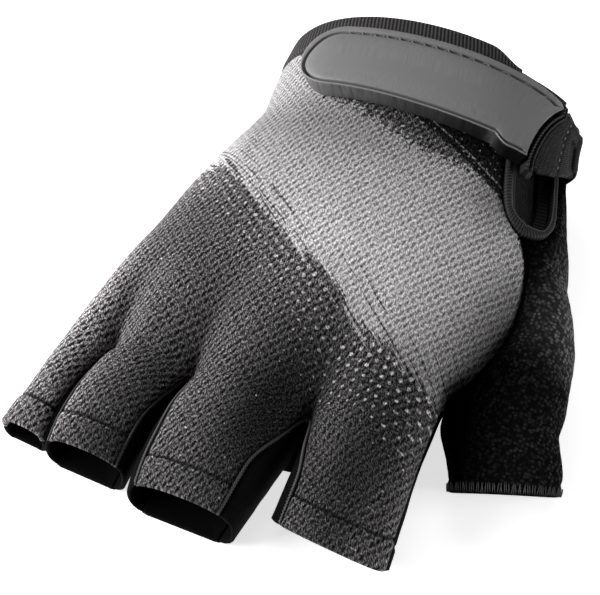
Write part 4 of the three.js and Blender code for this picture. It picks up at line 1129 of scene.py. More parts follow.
class GLOVE_OT_back_panel(bpy.types.Operator):
    """Sews the printed air mesh of the back and the four finger backs"""

    bl_idname = "glove.back_panel"
    bl_label = "Back panel"

    def execute(self, context):
        s = sizes_mm()
        cloth = cut("back_panel")
        lift = base_lift(cloth, s) + hemmed(cloth.to_hem, s.hem_width, s.hem_fold, 0.45)
        along, across = beside(cloth.points, BAND_EDGE)
        _, to_slit = beside(cloth.points, SLIT_EDGE)
        x, y = cloth.points[:, 0], cloth.points[:, 1]
        # The band fades out over 12 mm under the tab, from a slanted line that starts 46 mm up the hand
        fade = ease((y - mix(46, 33, np.clip((x + 22) / 40, 0, 1))) / 12) * ease((x + 32) / 24)
        # The brush strokes run straight, slanted over the hand
        stroke = np.stack([0.8 * x - 0.6 * y, 0.6 * x + 0.8 * y], -1)
        # The tone attribute carries the painted light and shade of the mesh
        values = {"print": np.stack([along, across, -to_slit], -1), "stroke": stroke, "fade": fade,
                  "to_hem": cloth.to_hem, "tone": 2 ** ovals(cloth.points, PAINTED_LIGHT_AND_SHADE)}
        material = printed_air_mesh(colour_set(), s.hem_width)
        sew("back_panel", cloth, lift, 1.3, 0.35, material, "mesh_knit", values)
        return {"FINISHED"}


class GLOVE_OT_palm_panel(bpy.types.Operator):
    """Sews the suede palm and the undersides of the fingers"""

    bl_idname = "glove.palm_panel"
    bl_label = "Palm panel"

    def execute(self, context):
        s = sizes_mm()
        cloth = cut("palm_panel")
        # Where the palm rests on the table it stays flat
        lift = base_lift(cloth, s) + hemmed(cloth.to_hem, s.hem_width * 0.7, 0.2, 0.3)
        lift *= ease((cloth.points[:, 2] - 0.5) / 2)
        sew("palm_panel", cloth, lift, 1.5, 0.4, palm_suede(colour_set()), "palm_suede")
        return {"FINISHED"}


class GLOVE_OT_thumb_panel(bpy.types.Operator):
    """Sews the towelling thumb with its overlocked hem"""

    bl_idname = "glove.thumb_panel"
    bl_label = "Thumb panel"

    def execute(self, context):
        s = sizes_mm()
        cloth = cut("thumb_panel")
        lift = base_lift(cloth, s) + hemmed(cloth.to_hem, s.thumb_hem, 0.25, 0.2)
        lift += 0.12 * ripple(cloth.points, 1.9, 5) * ease(cloth.to_seam / 2)
        # Painted light and shade on the pile: paler on the thumb's outer side, where the light from the right
        # falls, and most of all towards the wrist; near black on its inner side, in the shade of the index
        # finger
        outer = ease((cloth.points[:, 0] - 49) / 24) * ease((cloth.points[:, 2] - 2) / 8)
        wrist = 0.3 + 2.6 * ease((cloth.points[:, 1] + 6) / 26)
        tone_shift = {"tone": 0.03 + 7.0 * outer ** 1.5 * wrist}
        sew("thumb_panel", cloth, lift, 1.5, 0.4, thumb_towelling(colour_set()), "towelling", tone_shift)
        return {"FINISHED"}


class GLOVE_OT_gussets(bpy.types.Operator):
    """Sews the stretch gussets between the fingers"""

    bl_idname = "glove.gussets"
    bl_label = "Finger gussets"

    def execute(self, context):
        material = stretch_knit(colour_set())
        for name in map(gusset_name, range(len(FINGERS) - 1)):
            cloth = cut(name)
            lift = sewn(cloth.to_seam, 0.5, 0.9, 0.1) + 0.15 * ripple(cloth.points, 5, 7)
            sew(name, cloth, lift, 1.1, 0.3, material, "stretch_knit")
        return {"FINISHED"}


def lay(rows, angles, heights, thickness):
    """A sheet that lies on the hand, from grids of rows, angles and heights over the cloth."""
    points = hand_point(rows, angles)
    normals = hand_normal(rows, angles)
    outer = points + normals * heights[..., None]
    inner = points + normals * (heights - thickness)[..., None]
    count = np.arange(rows.size).reshape(rows.shape)
    a, b, c, d = count[1:, 1:], count[:-1, 1:], count[:-1, :-1], count[1:, :-1]
    faces = [tuple(int(v) for v in f) for f in np.stack([a, b, c, d], -1).reshape(-1, 4)]
    places = np.stack([lengths(points), lengths(points.transpose(1, 0, 2)).T], -1)
    return SimpleNamespace(outer=outer, inner=inner, faces=faces, normals=normals, places=places)


def make_sheet(name, sheet, bulge, material, slot, replaces=()):
    outer, inner = sheet.outer.reshape(-1, 3), sheet.inner.reshape(-1, 3)
    make_slab(name, sheet, outer, inner, bulge, material, slot, replaces)


CUFF = SimpleNamespace(proud=0.55, thickness=2.1, columns=960, rows=12, slant=2.4, drop=2.9, end_gap=0.3)


class GLOVE_OT_wrist_cuff(bpy.types.Operator):
    """Makes the ribbed elastic band round the wrist"""

    bl_idname = "glove.wrist_cuff"
    bl_label = "Wrist band"

    def execute(self, context):
        s = sizes_mm()
        # From the slit's left side, over the back and round under the wrist, to the slit's right side
        start, end = side_line("slit_left", WRIST), side_line("slit_right", WRIST) + 360
        fine = np.linspace(start + CUFF.end_gap, end - CUFF.end_gap, 1200)
        run = lengths(hand_point((WRIST + CUFF_END) / 2, fine))
        angle = np.interp(np.linspace(0, run[-1], CUFF.columns + 1), run, fine)
        across = np.linspace(0, 1, CUFF.rows + 1)
        # The band's edge is lower beside the slit, under the strap
        near_slit = np.maximum(ease((70 - angle) / 14), ease((angle - 362) / 14))
        top = WRIST - CUFF.drop * near_slit
        rows = mix(top[:, None], CUFF_END + 0.1, across[None, :])
        angles = angle[:, None] + 0 * across
        at = np.linspace(0, run[-1], CUFF.columns + 1)[:, None] + CUFF.slant * across
        rib = np.cos(2 * np.pi * at / s.rib_pitch)
        edge = np.minimum(across, 1 - across) * (WRIST - CUFF_END)
        heights = CUFF.proud + s.rib_height * (rib - 1) * 0.5 * ease(edge / 0.8)[None, :]
        heights -= 0.35 * bell(edge, 0.5)[None, :]
        sheet = lay(rows, angles, heights, CUFF.thickness)
        sheet.places = np.stack([at, edge + 0 * at], -1)
        sheet.outer[..., 2] = np.maximum(sheet.outer[..., 2], TABLE + 0.02)
        sheet.inner[..., 2] = np.maximum(sheet.inner[..., 2], TABLE + 0.02)
        material = ribbed_elastic("ribbed_wrist_elastic", colour_set(), s.rib_pitch)
        make_sheet("wrist_cuff_band", sheet, 0.35, material, "ribbed_elastic", ("wrist_cuff",))
        return {"FINISHED"}


BINDING = SimpleNamespace(proud=0.5, crown=0.45, thickness=2.0, gap_angle=0.5, gap_row=0.35, width=3.3,
                          foot_width=3.1, foot_share=0.45, foot_reach=6.0, rib=0.95, slant=1.1, steps=420,
                          top=72.5)
# The facing lies inside the slit, between two shares of the tape's width, and deeper the further in
FACING = SimpleNamespace(start=0.9, end=2.7, rib=1.2, depth=1.5, fall=1.1, thickness=0.8)


def binding_line(across):
    """Rows and angles of the tape round the slit: down its left side, round its foot, up its right side."""
    stops = [(y, 1) for y in (BINDING.top, 66, 55, 46, 40, 36, 33.5, 32, 31, 30.4)]
    stops += [(SLIT_FOOT, 0), *((y, -1) for y, _ in reversed(stops))]
    edge, inner = [], []
    for y, turn in stops:
        angle = side_line("slit_left" if turn >= 0 else "slit_right", y)
        near = np.clip(1 - (y - SLIT_FOOT) / BINDING.foot_reach, 0, 1)
        edge.append((y + BINDING.gap_row * near, angle - turn * BINDING.gap_angle))
        inner.append((y + BINDING.foot_width * near,
                      angle - turn * BINDING.width * (1 - BINDING.foot_share * near)))
    edge, inner = np.array(edge), np.array(inner)
    place = lengths(hand_point(edge[:, 0], edge[:, 1]))
    at = np.linspace(0, place[-1], BINDING.steps + 1)
    read = lambda values: smooth({"at": place, "v": values}, "v")(at)[:, None]
    rows, angles = (mix(read(edge[:, k]), read(inner[:, k]), across) for k in (0, 1))
    return rows, angles, at[:, None]


class GLOVE_OT_slit_binding(bpy.types.Operator):
    """Makes the ribbed tape round the wrist slit, the cord along its edge and the facing inside it"""

    bl_idname = "glove.slit_binding"
    bl_label = "Slit binding"

    def execute(self, context):
        colours = colour_set()
        across = np.linspace(0, 1, 9)
        rows, angles, at = binding_line(across)
        run = at + BINDING.slant * across
        round_top = np.sin(np.pi * across)
        heights = BINDING.proud + BINDING.crown * round_top
        heights = heights + 0.12 * (np.cos(2 * np.pi * run / BINDING.rib) - 1) * round_top
        sheet = lay(rows, angles, heights, BINDING.thickness)
        sheet.places = np.stack([run, across * 3.5 + 0 * at], -1)
        material = ribbed_elastic("ribbed_slit_tape", colours, BINDING.rib, 0.5)
        make_sheet("slit_binding_tape", sheet, 0.3, material, "ribbed_elastic", ("slit_binding",))
        cord = sheet.outer[:, -1] + sheet.normals[:, -1] * -0.15
        thread = sewing_thread("slit_edge_thread", colours.elastic)
        make_object("slit_edge_cord", *tube(cord[6:-6:2], 0.2, 6), thread, slot="ribbed_elastic")
        # The facing shows inside the slit, below its tape
        inside = np.linspace(FACING.start, FACING.end, 7)
        rows, angles, at = binding_line(inside)
        heights = -FACING.depth - FACING.fall * (inside - FACING.start)
        heights = heights + 0.15 * np.cos(2 * np.pi * at / FACING.rib)
        facing = lay(rows, angles, heights, FACING.thickness)
        facing.places = np.stack([at + 0 * inside, inside * 3 + 0 * at], -1)
        # The facing's elastic is darkened to 0.3 as painted shade inside the slit
        lining = ribbed_elastic("ribbed_slit_facing", colours, FACING.rib, 0.3)
        make_sheet("slit_facing", facing, 0.2, lining, "ribbed_elastic")
        return {"FINISHED"}


STRAP = SimpleNamespace(over_slit=1.1, over_cuff=0.95, cuff_reach=2.0, sewn_down=0.35, sewn_run=3.0,
                        thickness=1.8, end=13.6)
# The strap's layer under the tab lies between two angles and shows beyond the tab's far side
UNDER_TAB = SimpleNamespace(start=32.0, end=72.0, proud=2.9, width=5, height=3.4, thickness=2.0)
# The lining hangs under the strap, between two rows, and backs the slit there
LINING = SimpleNamespace(low=27, high=74.5, foot=31.5, inset=2, depth=3.6, sag=1.2, thickness=0.8)
# Rows by the angle round the wrist: the strap's middle line along the tab, and the knitted strap's two edges
STRAP_LINE = table("angle row", [(0, 62.5), (50, 59), (75, 58.6), (140, 58)])
STRAP_EDGES = table("angle near far", [(15, 58, 71), (20, 56, 71), (30, 52, 71), (40, 48.8, 71),
                                       (50, 47.4, 71)])
# The tab's sewn end is slanted: from its near corner it leans more and more towards the thumb
TAB_END = SimpleNamespace(angle=49.5, near_row=47.2, far_row=67.3, lean=15.0, curve=1.6)
TAB = SimpleNamespace(tip_angle=134.5, tip_radius=9.6, base=1.3, wall=5.4, crown=6.0, near_rim=0.5,
                      far_rim=1.9, groove=0.8, groove_depth=1.9, spine_start=3.2, lean_run=16.0,
                      end_inset=0.15, wall_inset=0.4, end_run=1.2, swell_run=12.0)
TAB_STITCHES = SimpleNamespace(pitch=3.3, depth=0.35, radius=0.2)
TAB_SIDES = table("length near far", [(0.6, 11.8, 7.9), (1.5, 11.9, 9.1), (3.5, 11.9, 9.6), (6.3, 11.9, 9.8),
                                      (8.9, 10, 9.8)])


def strap_row(angle):
    return np.interp(angle, STRAP_LINE["angle"], STRAP_LINE["row"])


def end_lean(row):
    """How far the tab's sewn end leans round to the thumb, in degrees."""
    share = np.clip((row - TAB_END.near_row) / (TAB_END.far_row - TAB_END.near_row), 0, 1)
    return TAB_END.lean * share ** TAB_END.curve


STRAP_ANGLES = np.linspace(TAB_END.angle, 180, 401)
STRAP_LENGTHS = lengths(hand_point(strap_row(STRAP_ANGLES), STRAP_ANGLES))


def tab_point(length, across, height):
    """A point of the tab, by its length from the sewn end, its place across and its height over the cloth."""
    square = np.interp(length, STRAP_LENGTHS, STRAP_ANGLES)
    row = strap_row(square) + across
    angle = square - end_lean(row) * (1 - ease(length / TAB.lean_run))
    return hand_point(row, angle) + hand_normal(row, angle) * np.asarray(height)[..., None]


def tab_width(length, side, spine_end):
    """The tab's half width on one side. It narrows at the shoulders and then evenly to the round tip."""
    stops = TAB_SIDES["length"]
    taper = ease((length - stops[-1]) / (spine_end - stops[-1]))
    return mix(smooth(TAB_SIDES, side)(length), TAB.tip_radius, taper)


def tab_outline(step):
    """The tab's outline: along its far side, round its tip, back along its near side and across its slanted
    end. Gives the length, the place across, the spine point that each point is drawn towards, 0 on the sewn
    end and 1 away from it, and where the spine ends."""
    total = float(np.interp(TAB.tip_angle, STRAP_ANGLES, STRAP_LENGTHS))
    spine_end = total - TAB.tip_radius
    start = TAB_SIDES["length"][0]
    s = np.array(spaced([start, start + TAB.end_run], step / 3) + spaced([3.0, 9.0], step / 2)
                 + spaced([9.4, spine_end], step))
    far, near = tab_width(s, "far", spine_end), -tab_width(s, "near", spine_end)
    turn = np.linspace(np.pi / 2, -np.pi / 2, 41)[1:-1]
    end = np.linspace(near[0], far[0], 41)[1:-1]
    length = np.concatenate([s, spine_end + TAB.tip_radius * np.cos(turn), s[::-1], np.full(len(end), start)])
    across = np.concatenate([far, TAB.tip_radius * np.sin(turn), near[::-1], end])
    spine = np.clip(length, TAB.spine_start, spine_end)
    return length, across, spine, ease((length - start) / TAB.end_run), spine_end


class GLOVE_OT_closure_tab(bpy.types.Operator):
    """Makes the moulded tab with its groove and the zigzag stitches in it"""

    bl_idname = "glove.closure_tab"
    bl_label = "Closure tab"

    def execute(self, context):
        colours = colour_set()
        length, across, spine, free, spine_end = tab_outline(0.8)
        # The rim outside the groove is narrow on the fingers' side and wide on the side of the wrist edge
        far = ease((across + TAB.tip_radius * 0.6) / (TAB.tip_radius * 1.2))
        rim = mix(TAB.near_rim, TAB.far_rim, far)
        top = TAB.base + TAB.wall
        deep = top - TAB.groove_depth
        # Each step of the section is an inset from the outline and a height
        fixed = [(0.5, TAB.base), (0.12, TAB.base + 0.12), (0, TAB.base + 0.5), (0, top - 0.75),
                 (0.06, top - 0.4), (0.2, top - 0.15), (0.42, top - 0.02)]
        by_rim = [(-0.16, top), (-0.03, top - 0.12), (0.06, top - 0.4), (0.14, deep + 0.15), (0.34, deep),
                  (TAB.groove - 0.3, deep), (TAB.groove - 0.1, deep + 0.15), (TAB.groove, top - 0.4),
                  (TAB.groove + 0.1, top - 0.06), (TAB.groove + 0.34, top + 0.06)]
        # At the sewn end the top has no groove: there the steps stay close to the edge and at its height
        levels = [(np.full(len(length), inset), np.full(len(length), height)) for inset, height in fixed]
        levels += [(rim + inset, mix(max(height, top), height, free)) for inset, height in by_rim]
        # The top swells from the sewn end on
        swell = lambda at: (TAB.crown - TAB.wall) * ease((at - length.min()) / TAB.swell_run)
        levels += [(rim + TAB.groove + extra, top + swell(length) * part)
                   for extra, part in ((1.4, 0.43), (2.8, 0.73), (4.4, 0.9))]
        reach = np.hypot(length - spine, across)
        flat = np.full(len(length), TAB.base)
        walk = lengths(tab_point(length, across, flat))
        rings, places = [], []
        for step, (inset, height) in enumerate(levels):
            held = inset * mix(TAB.end_inset if step >= len(fixed) else TAB.wall_inset, 1, free)
            share = np.clip(held / reach, 0, 0.98)
            rings.append(tab_point(mix(length, spine, share), mix(across, 0, share), height))
            on_wall = float(step < len(fixed) - 2)
            places.append(np.stack([walk, height, np.full(len(length), on_wall)], -1))
        rings = [tab_point(spine, 0 * length, flat), *rings, tab_point(spine, 0 * length, top + swell(spine))]
        places = np.array([places[0], *places, places[-1]])
        points = np.concatenate(rings)
        first, ids = weld(points)
        # Each ring of points is closed by its own first point
        ids = ids.reshape(len(rings), -1)
        faces = grid_faces(np.concatenate([ids, ids[:, :1]], 1), False)
        faces = [face for face in faces if len(set(face)) == len(face)]
        # Painted light and shade on the wall: pale at the tip, where the light from the left falls, and dark
        # towards the sewn end, which lies in shade; a paler band stands 9.5 mm from that end
        wall_light_and_shade = 0.03 + 0.7 * np.clip(length / spine_end, 0, 1) ** 2 + 0.3 * bell(length - 9.5, 1.2)
        tone = mix(1.0, wall_light_and_shade, places[..., 2]).ravel()
        attributes = {"cloth": places.reshape(-1, 3)[first], "tone": tone[first]}
        make_object("closure_tab_rubber", points[first], faces, moulded_rubber(colours), attributes,
                    "moulded_rubber", ("closure_tab",))
        # Zigzag stitches lie in the groove along the side of the wrist edge
        zigzag = []
        for s in np.arange(4, spine_end + 2, TAB_STITCHES.pitch):
            middle = tab_width(s, "far", spine_end) - TAB.far_rim - TAB.groove / 2
            ends = tab_point(s + np.array([-0.8, 0, 0.8]), middle + np.array([-0.32, 0.3, -0.32]),
                             np.full(3, top - TAB_STITCHES.depth))
            zigzag += [(ends[0], ends[1]), (ends[1], ends[2])]
        thread = sewing_thread("tab_thread", colours.pale_thread)
        make_object("tab_groove_stitches", *stitches(zigzag, TAB_STITCHES.radius), thread,
                    slot="moulded_rubber")
        return {"FINISHED"}


def ring_faces(count, sides, at=0):
    """Faces of a closed tube of so many rings, with its caps, whose points start at a number."""
    faces = []
    for i in range(count - 1):
        for k in range(sides):
            m = (k + 1) % sides
            faces.append((i * sides + k, (i + 1) * sides + k, (i + 1) * sides + m, i * sides + m))
    last = (count - 1) * sides
    faces += [tuple(range(sides)), tuple(last + k for k in reversed(range(sides)))]
    return [tuple(at + v for v in face) for face in faces]


def tube(path, radius, sides):
    """A closed tube along a path, with caps."""
    path = np.asarray(path, float)
    run = unit(np.gradient(path, axis=0))
    side = unit(np.cross(run, np.array((0.3, 0.2, 1.0))))
    up = np.cross(side, run)
    turn = np.linspace(0, 2 * np.pi, sides, endpoint=False)
    rings = path[:, None] + radius * (np.cos(turn)[None, :, None] * side[:, None] +
                                      np.sin(turn)[None, :, None] * up[:, None])
    return rings.reshape(-1, 3), ring_faces(len(path), sides)


def stitches(pairs, radius, sides=6):
    """Joined small spindles, one for each pair of ends."""
    shares = np.array([0, 0.12, 0.35, 0.65, 0.88, 1.0])
    widths = np.array([0.15, 0.62, 1.0, 1.0, 0.62, 0.15])
    turn = np.linspace(0, 2 * np.pi, sides, endpoint=False)
    verts, faces = [], []
    for a, b in pairs:
        run = unit(b - a)
        side = unit(np.cross(run, np.array((0.31, 0.17, 0.94))))
        up = np.cross(side, run)
        faces += ring_faces(len(shares), sides, len(verts) * len(shares) * sides)
        ring = a + (b - a) * shares[:, None]
        around = np.cos(turn)[:, None] * side + np.sin(turn)[:, None] * up
        points = ring[:, None] + radius * widths[:, None, None] * around[None]
        verts.append(points.reshape(-1, 3))
    return np.concatenate(verts), faces


def strap_seat(row, angle):
    """Height of the strap's underside over the cloth."""
    beyond = ease((side_line("slit_right", row) - 1 - angle) / STRAP.sewn_run)
    seat = mix(STRAP.over_slit, STRAP.sewn_down, beyond)
    return np.where(row > CUFF_END - STRAP.cuff_reach, np.maximum(seat, STRAP.over_cuff), seat)


# The fold's width and gaps are in degrees round the wrist, its ends in rows
FOLD = SimpleNamespace(thickness=3.8, width=3.7, gap_angle=0.3, near=45.4, far=71.2, roll=0.5, base_gap=0.5)
PLEAT = SimpleNamespace(start=14.2, end=6.0, low=59.5, high=71.5, thickness=1.1)
PLEAT_SHAPE = table("share height", [(0, 2.9), (0.35, 3.4), (0.75, 2.2), (1, 1.0)])


def fold_angle(row, share):
    return TAB_END.angle - end_lean(row) - FOLD.gap_angle - share * FOLD.width


def base_row(angle, share):
    near, far = (np.interp(angle, STRAP_EDGES["angle"], STRAP_EDGES[side]) for side in ("near", "far"))
    return mix(near, far, share)


def base_start(share):
    """Where the strap comes out of its fold. Its row and angle depend on each other and settle in rounds."""
    angle = np.full(len(share), TAB_END.angle)
    for _ in range(6):
        angle = fold_angle(base_row(angle, share), 1) - FOLD.base_gap
    return angle


def dashes(line, normals, dash, gap, lift):
    """Pairs of ends of short stitches along a line."""
    run = lengths(line)
    starts = np.arange(gap / 2, run[-1] - dash, dash + gap)
    at = lambda place: np.stack([np.interp(place, run, (line + normals * lift)[:, k]) for k in range(3)], -1)
    return list(zip(at(starts), at(starts + dash)))


# The stitched line down the strap: through a row and an angle, and how many rows it climbs in a degree
STITCH_LINE = SimpleNamespace(row=53.0, angle=31.0, climb=2.4, rows=(52.5, 70.0))


class GLOVE_OT_closure_strap(bpy.types.Operator):
    """Makes the knitted strap: its length over the slit, its folded end at the tab and its loose pleat"""

    bl_idname = "glove.closure_strap"
    bl_label = "Closure strap"

    def execute(self, context):
        colours = colour_set()
        material = strap_knit(colours)
        # The strap over the slit
        across = np.linspace(0, 1, 41)
        down = np.linspace(0, 1, 49)[:, None]
        angles = mix(base_start(across)[None, :], STRAP.end, down)
        rows = base_row(angles, across[None, :])
        edge = np.minimum(across, 1 - across)[None, :] * (STRAP_EDGES["far"][0] - base_row(angles, 0))
        heights = strap_seat(rows, angles) + STRAP.thickness
        # A bead along its two edges, a dip at the line where it is stitched, and soft waves
        row_at = lambda angle: STITCH_LINE.row + (STITCH_LINE.angle - angle) * STITCH_LINE.climb
        off_line = (rows - row_at(angles)) / math.hypot(STITCH_LINE.climb, 1) * 0.6
        heights = heights + 0.25 * bell(edge - 0.8, 0.6) - 0.3 * bell(off_line, 0.7)
        wave = ripple(hand_point(rows, angles).reshape(-1, 3), 7.0, 3).reshape(rows.shape)
        base = lay(rows, angles, heights + 0.22 * wave, STRAP.thickness)
        make_sheet("strap_base_knit", base, 0.35, material, "strap_knit", ("strap_base",))
        # Its layer under the tab
        angles = mix(UNDER_TAB.start, UNDER_TAB.end, across) + 0 * down[::4]
        far_row = strap_row(angles) + TAB_SIDES["far"][2] + UNDER_TAB.proud
        rows = mix(far_row - UNDER_TAB.width, far_row, down[::4])
        under = lay(rows, angles, UNDER_TAB.height + 0 * rows, UNDER_TAB.thickness)
        make_sheet("strap_under_tab", under, 0.4, material, "strap_knit")
        # The folded end along the tab's sewn end: two rolls with a groove between them
        share = np.linspace(0, 1, 25)[:, None]
        place = np.linspace(0, 1, 121)[None, :]
        rows = mix(FOLD.near, FOLD.far, place) + 0 * share
        angles = fold_angle(rows, share)
        first = np.sin(np.pi * np.clip(share / FOLD.roll, 0, 1)) ** 0.6
        second = 0.8 * np.sin(np.pi * np.clip((share - FOLD.roll) / (1 - FOLD.roll), 0, 1)) ** 0.6
        ends = 1 - 0.8 * bell(np.minimum(place, 1 - place), 0.025)
        twist = 0.09 * np.cos(2 * np.pi * (rows / 1.05 + 1.3 * share))
        heights = STRAP.over_slit + FOLD.thickness - 1.3 + (first + second) * ends * (1.1 + twist)
        fold = lay(rows, angles, heights, FOLD.thickness - 0.6)
        make_sheet("strap_fold_knit", fold, 0.3, material, "strap_knit", ("strap_fold",))
        # Slanted stitches cover the first roll
        roll_pairs = []
        for i in range(4, fold.outer.shape[1] - 8, 5):
            steps = [(2, i), (6, i + 2), (10, i + 4)]
            spots = [fold.outer[a, b] + fold.normals[a, b] * 0.08 for a, b in steps]
            roll_pairs += list(zip(spots, spots[1:]))
        dark = sewing_thread("strap_roll_thread", colours.dark_thread)
        make_object("strap_roll_stitches", *stitches(roll_pairs, 0.17), dark, slot="strap_knit")
        row = np.linspace(*STITCH_LINE.rows, 60)
        angle = STITCH_LINE.angle - (row - STITCH_LINE.row) / STITCH_LINE.climb
        normals = hand_normal(row, angle)
        line = hand_point(row, angle) + normals * (strap_seat(row, angle) + STRAP.thickness)[:, None]
        pale = sewing_thread("strap_thread", colours.pale_thread)
        make_object("strap_stitches", *stitches(dashes(line, normals, 1.3, 1.5, -0.1), 0.2), pale,
                    slot="strap_knit")
        # The lining
        rows = np.linspace(LINING.low, LINING.high, 48)[:, None] + 0 * across
        open_row = np.maximum(rows, LINING.foot)
        left, right = side_line("slit_left", open_row), side_line("slit_right", open_row)
        angles = mix(left + LINING.inset, right - LINING.inset, across)
        heights = -LINING.depth - LINING.sag * np.sin(np.pi * across) + 0 * rows
        lining = lay(rows, angles, heights, LINING.thickness)
        make_sheet("strap_lining", lining, 0.3, material, "strap_knit")
        # The loose pleat on the thumb side
        down = np.linspace(0, 1, 25)
        over = np.linspace(0, 1, 17)
        rows = mix(PLEAT.low, PLEAT.high, over)[None, :] + 0 * down[:, None]
        angles = mix(PLEAT.start, PLEAT.end, down)[:, None] + 0 * over[None, :]
        heights = smooth(PLEAT_SHAPE, "height")(down)[:, None] - 0.35 * bell(np.minimum(over, 1 - over), 0.08)
        pleat = lay(rows, angles, heights, PLEAT.thickness)
        make_sheet("strap_pleat_knit", pleat, 0.35, material, "strap_knit", ("strap_pleat",))
        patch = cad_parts["closure_patch"]
        patch.data.materials.clear()
        patch.data.materials.append(hook_and_loop(colours))
        return {"FINISHED"}


def joined(parts):
    """Several bodies as one mesh."""
    verts, faces, count = [], [], 0
    for own, sides in parts:
        verts.append(own)
        faces += [tuple(v + count for v in face) for face in sides]
        count += len(own)
    return np.concatenate(verts), faces


def twisted_cord(points, normals, pitch, length, lean, lift):
    """Pairs of ends of the slanted stitches that cover a seam's edge like a twisted cord."""
    run = lengths(points)
    at = np.arange(pitch, run[-1] - 0.4, pitch)
    place = np.stack([np.interp(at, run, points[:, k]) for k in range(3)], -1)
    up = unit(np.stack([np.interp(at, run, normals[:, k]) for k in range(3)], -1))
    along = unit(np.gradient(place, axis=0))
    side = np.cross(along, up)
    slant = unit(along * math.cos(lean) + side * math.sin(lean)) * (length / 2)
    middle = place + up * lift
    return [(middle[i] - slant[i], middle[i] + slant[i]) for i in range(len(at))]


class GLOVE_OT_seams(bpy.types.Operator):
    """Sews the rolls and cords of the finger seams and the overlock round the thumb's hem"""

    bl_idname = "glove.seams"
    bl_label = "Seams and stitches"

    def execute(self, context):
        s = sizes_mm()
        colours = colour_set()
        lit = sewing_thread("seam_thread", colours.elastic)
        dark = sewing_thread("dark_seam_thread", colours.dark_thread)
        backs = [g for g in NET if g.piece == "back_panel" and g.name != "hand"]
        lit_cords, faint, rolls = [], [], []
        # Each finger but the first has a seam down its left side, each but the last down its right side
        seams = [(f, column) for f in range(len(FINGERS)) for column in (0, -1)][1:-1]
        for f, column in seams:
            points, normals = backs[f].points[:, column], backs[f].normals[:, column]
            rolls.append(tube(points[1:] - normals[1:] * 0.1, 0.3, 8))
            # The seams between the first two fingers lie too close together to show a cord
            if (f, column) not in ((0, -1), (1, 0)):
                cord = twisted_cord(points, normals, s.stitch_pitch, 1.3, 0.8, 0.16)
                # The cords on the fingers' left sides get the paler thread as painted light, those on their
                # right sides the dark thread as painted shade
                (lit_cords if column == 0 else faint).extend(cord)
        for name, body, thread in (("rolls", joined(rolls), dark),
                                   ("cords", stitches(lit_cords, s.thread * 0.6), lit),
                                   ("cords_shaded", stitches(faint, s.thread * 0.5), dark)):
            make_object(f"finger_seam_{name}", *body, thread, slot="mesh_knit")
        # The overlock runs over the edge of the thumb's hem and stays above the table
        g = next(g for g in NET if g.piece == "thumb_panel")
        rng = np.random.default_rng(11)
        ring, inner, up = g.points[-1], g.points[-3], g.normals[-1] * 0.42
        overlock = []
        for i in range(len(ring) - 1):
            for share in (0.2, 0.7):
                a = mix(ring[i], ring[i + 1], share)
                b = mix(inner[i], inner[i + 1], np.clip(share + rng.uniform(-0.5, 0.5), 0, 1))
                pair = np.stack([a + up[i] * 0.9, b + up[i]])
                pair[:, 2] = np.maximum(pair[:, 2], TABLE + 0.2)
                overlock.append(pair)
        make_object("thumb_hem_overlock", *stitches(overlock, 0.12), dark, slot="towelling")
        return {"FINISHED"}


CAMERA = SimpleNamespace(azimuth=24.0, elevation=50.0, distance=0.65, lens=150.15, sensor=36.0,
                         aim=(-0.01239, -0.00683, 0.018))


def aim(obj):
    direction = Vector(CAMERA.aim) - obj.location
    obj.rotation_euler = direction.to_track_quat("-Z", "Y").to_euler()


def soft_light(name, place, size, power):
    data = bpy.data.lights.new(name, "AREA")
    data.shape = "RECTANGLE"
    data.size, data.size_y = size
    data.energy = power
    light = bpy.data.objects.new(name, data)
    light.location = place
    bpy.context.scene.collection.objects.link(light)
    aim(light)


def paper():
    """Matt studio paper on a lit table: even and pale, with the faintest cloud."""
    look, add = start_material("studio_paper", Roughness=0.9, Emission_Color=(1.0, 1.0, 1.0),
                               Emission_Strength=0.7)
    cloud = add(NOISE, {"Vector": add(PLACE, (), "Object"), "Scale": 3.0, "Detail": 2.0}, "Fac")
    tone = add(RANGE, {"Value": cloud, "To Min": 0.93, "To Max": 0.96})
    return finish(look, add, (1, 1, 1), tone)


# Half the paper floor's width and its height, in metres
FLOOR = SimpleNamespace(half=3.0, z=-0.0002)
# The soft lights: where they stand and how wide and high they are, in metres, and their power in watts
LIGHTS = (("key_light", (-1.0, -0.4, 0.44), (1.1, 0.6), 26), ("back_light", (-0.3, 0.6, 0.9), (0.9, 0.5), 3),
          ("rim_light", (0.9, 0.1, 0.2), (0.3, 0.5), 6))
WORLD_LIGHT = 0.06


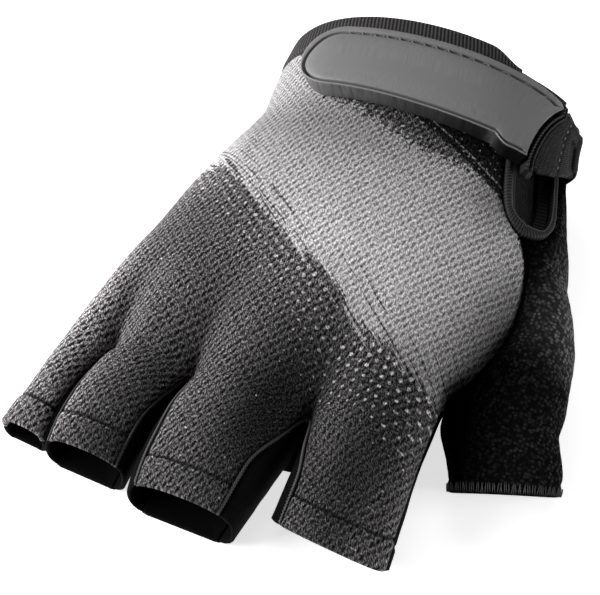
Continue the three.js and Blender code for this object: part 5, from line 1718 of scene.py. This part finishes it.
class GLOVE_OT_stage(bpy.types.Operator):
    """Sets the paper floor, the soft lights and the camera"""

    bl_idname = "glove.stage"
    bl_label = "Stage"

    def execute(self, context):
        scene = context.scene
        mesh = bpy.data.meshes.new("paper_floor")
        corners = [(x * FLOOR.half, y * FLOOR.half, FLOOR.z) for x, y in ((-1, -1), (1, -1), (1, 1), (-1, 1))]
        mesh.from_pydata(corners, [], [(0, 1, 2, 3)])
        mesh.materials.append(paper())
        floor = bpy.data.objects.new("paper_floor", mesh)
        scene.collection.objects.link(floor)
        world = bpy.data.worlds.new("studio")
        world.use_nodes = True
        background = world.node_tree.nodes["Background"].inputs
        background["Color"].default_value = (1, 1, 1, 1)
        background["Strength"].default_value = WORLD_LIGHT
        scene.world = world
        for light in LIGHTS:
            soft_light(*light)
        scene.view_settings.view_transform = "Standard"
        a, e = math.radians(CAMERA.azimuth), math.radians(CAMERA.elevation)
        back = Vector((math.sin(a) * math.cos(e), -math.cos(a) * math.cos(e), math.sin(e)))
        data = bpy.data.cameras.new("camera")
        data.lens, data.sensor_width = CAMERA.lens, CAMERA.sensor
        data.clip_start, data.clip_end = 0.01, 20
        camera = bpy.data.objects.new("camera", data)
        camera.location = Vector(CAMERA.aim) + back * CAMERA.distance
        scene.collection.objects.link(camera)
        aim(camera)
        scene.camera = camera
        return {"FINISHED"}


OPERATORS = (
    GLOVE_OT_stage,
    GLOVE_OT_back_panel,
    GLOVE_OT_palm_panel,
    GLOVE_OT_thumb_panel,
    GLOVE_OT_gussets,
    GLOVE_OT_wrist_cuff,
    GLOVE_OT_slit_binding,
    GLOVE_OT_closure_tab,
    GLOVE_OT_closure_strap,
    GLOVE_OT_seams,
)


class GLOVE_PT_looks(bpy.types.Panel):
    """Lists the glove's sizes, colours and pieces"""

    bl_idname = "GLOVE_PT_looks"
    bl_label = "Short-finger glove"
    bl_space_type = "VIEW_3D"
    bl_region_type = "UI"
    bl_category = "Glove"

    def draw(self, context):
        for group in (context.scene.glove_sizes, context.scene.glove_colours):
            box = self.layout.box()
            for name in type(group).__annotations__:
                box.prop(group, name)
        for operator in OPERATORS:
            self.layout.operator(operator.bl_idname)


CLASSES = (GloveSizes, GloveColours, *OPERATORS, GLOVE_PT_looks)


def register():
    for cls in CLASSES:
        bpy.utils.register_class(cls)
    bpy.types.Scene.glove_sizes = bpy.props.PointerProperty(type=GloveSizes)
    bpy.types.Scene.glove_colours = bpy.props.PointerProperty(type=GloveColours)


def unregister():
    del bpy.types.Scene.glove_colours
    del bpy.types.Scene.glove_sizes
    for cls in reversed(CLASSES):
        bpy.utils.unregister_class(cls)


def plain(box):
    return [[float(v) for v in corner] for corner in box]


def main():
    register()
    for operator in OPERATORS:
        group, name = operator.bl_idname.split(".")
        getattr(getattr(bpy.ops, group), name)()


if __name__ == "__main__":
    main()
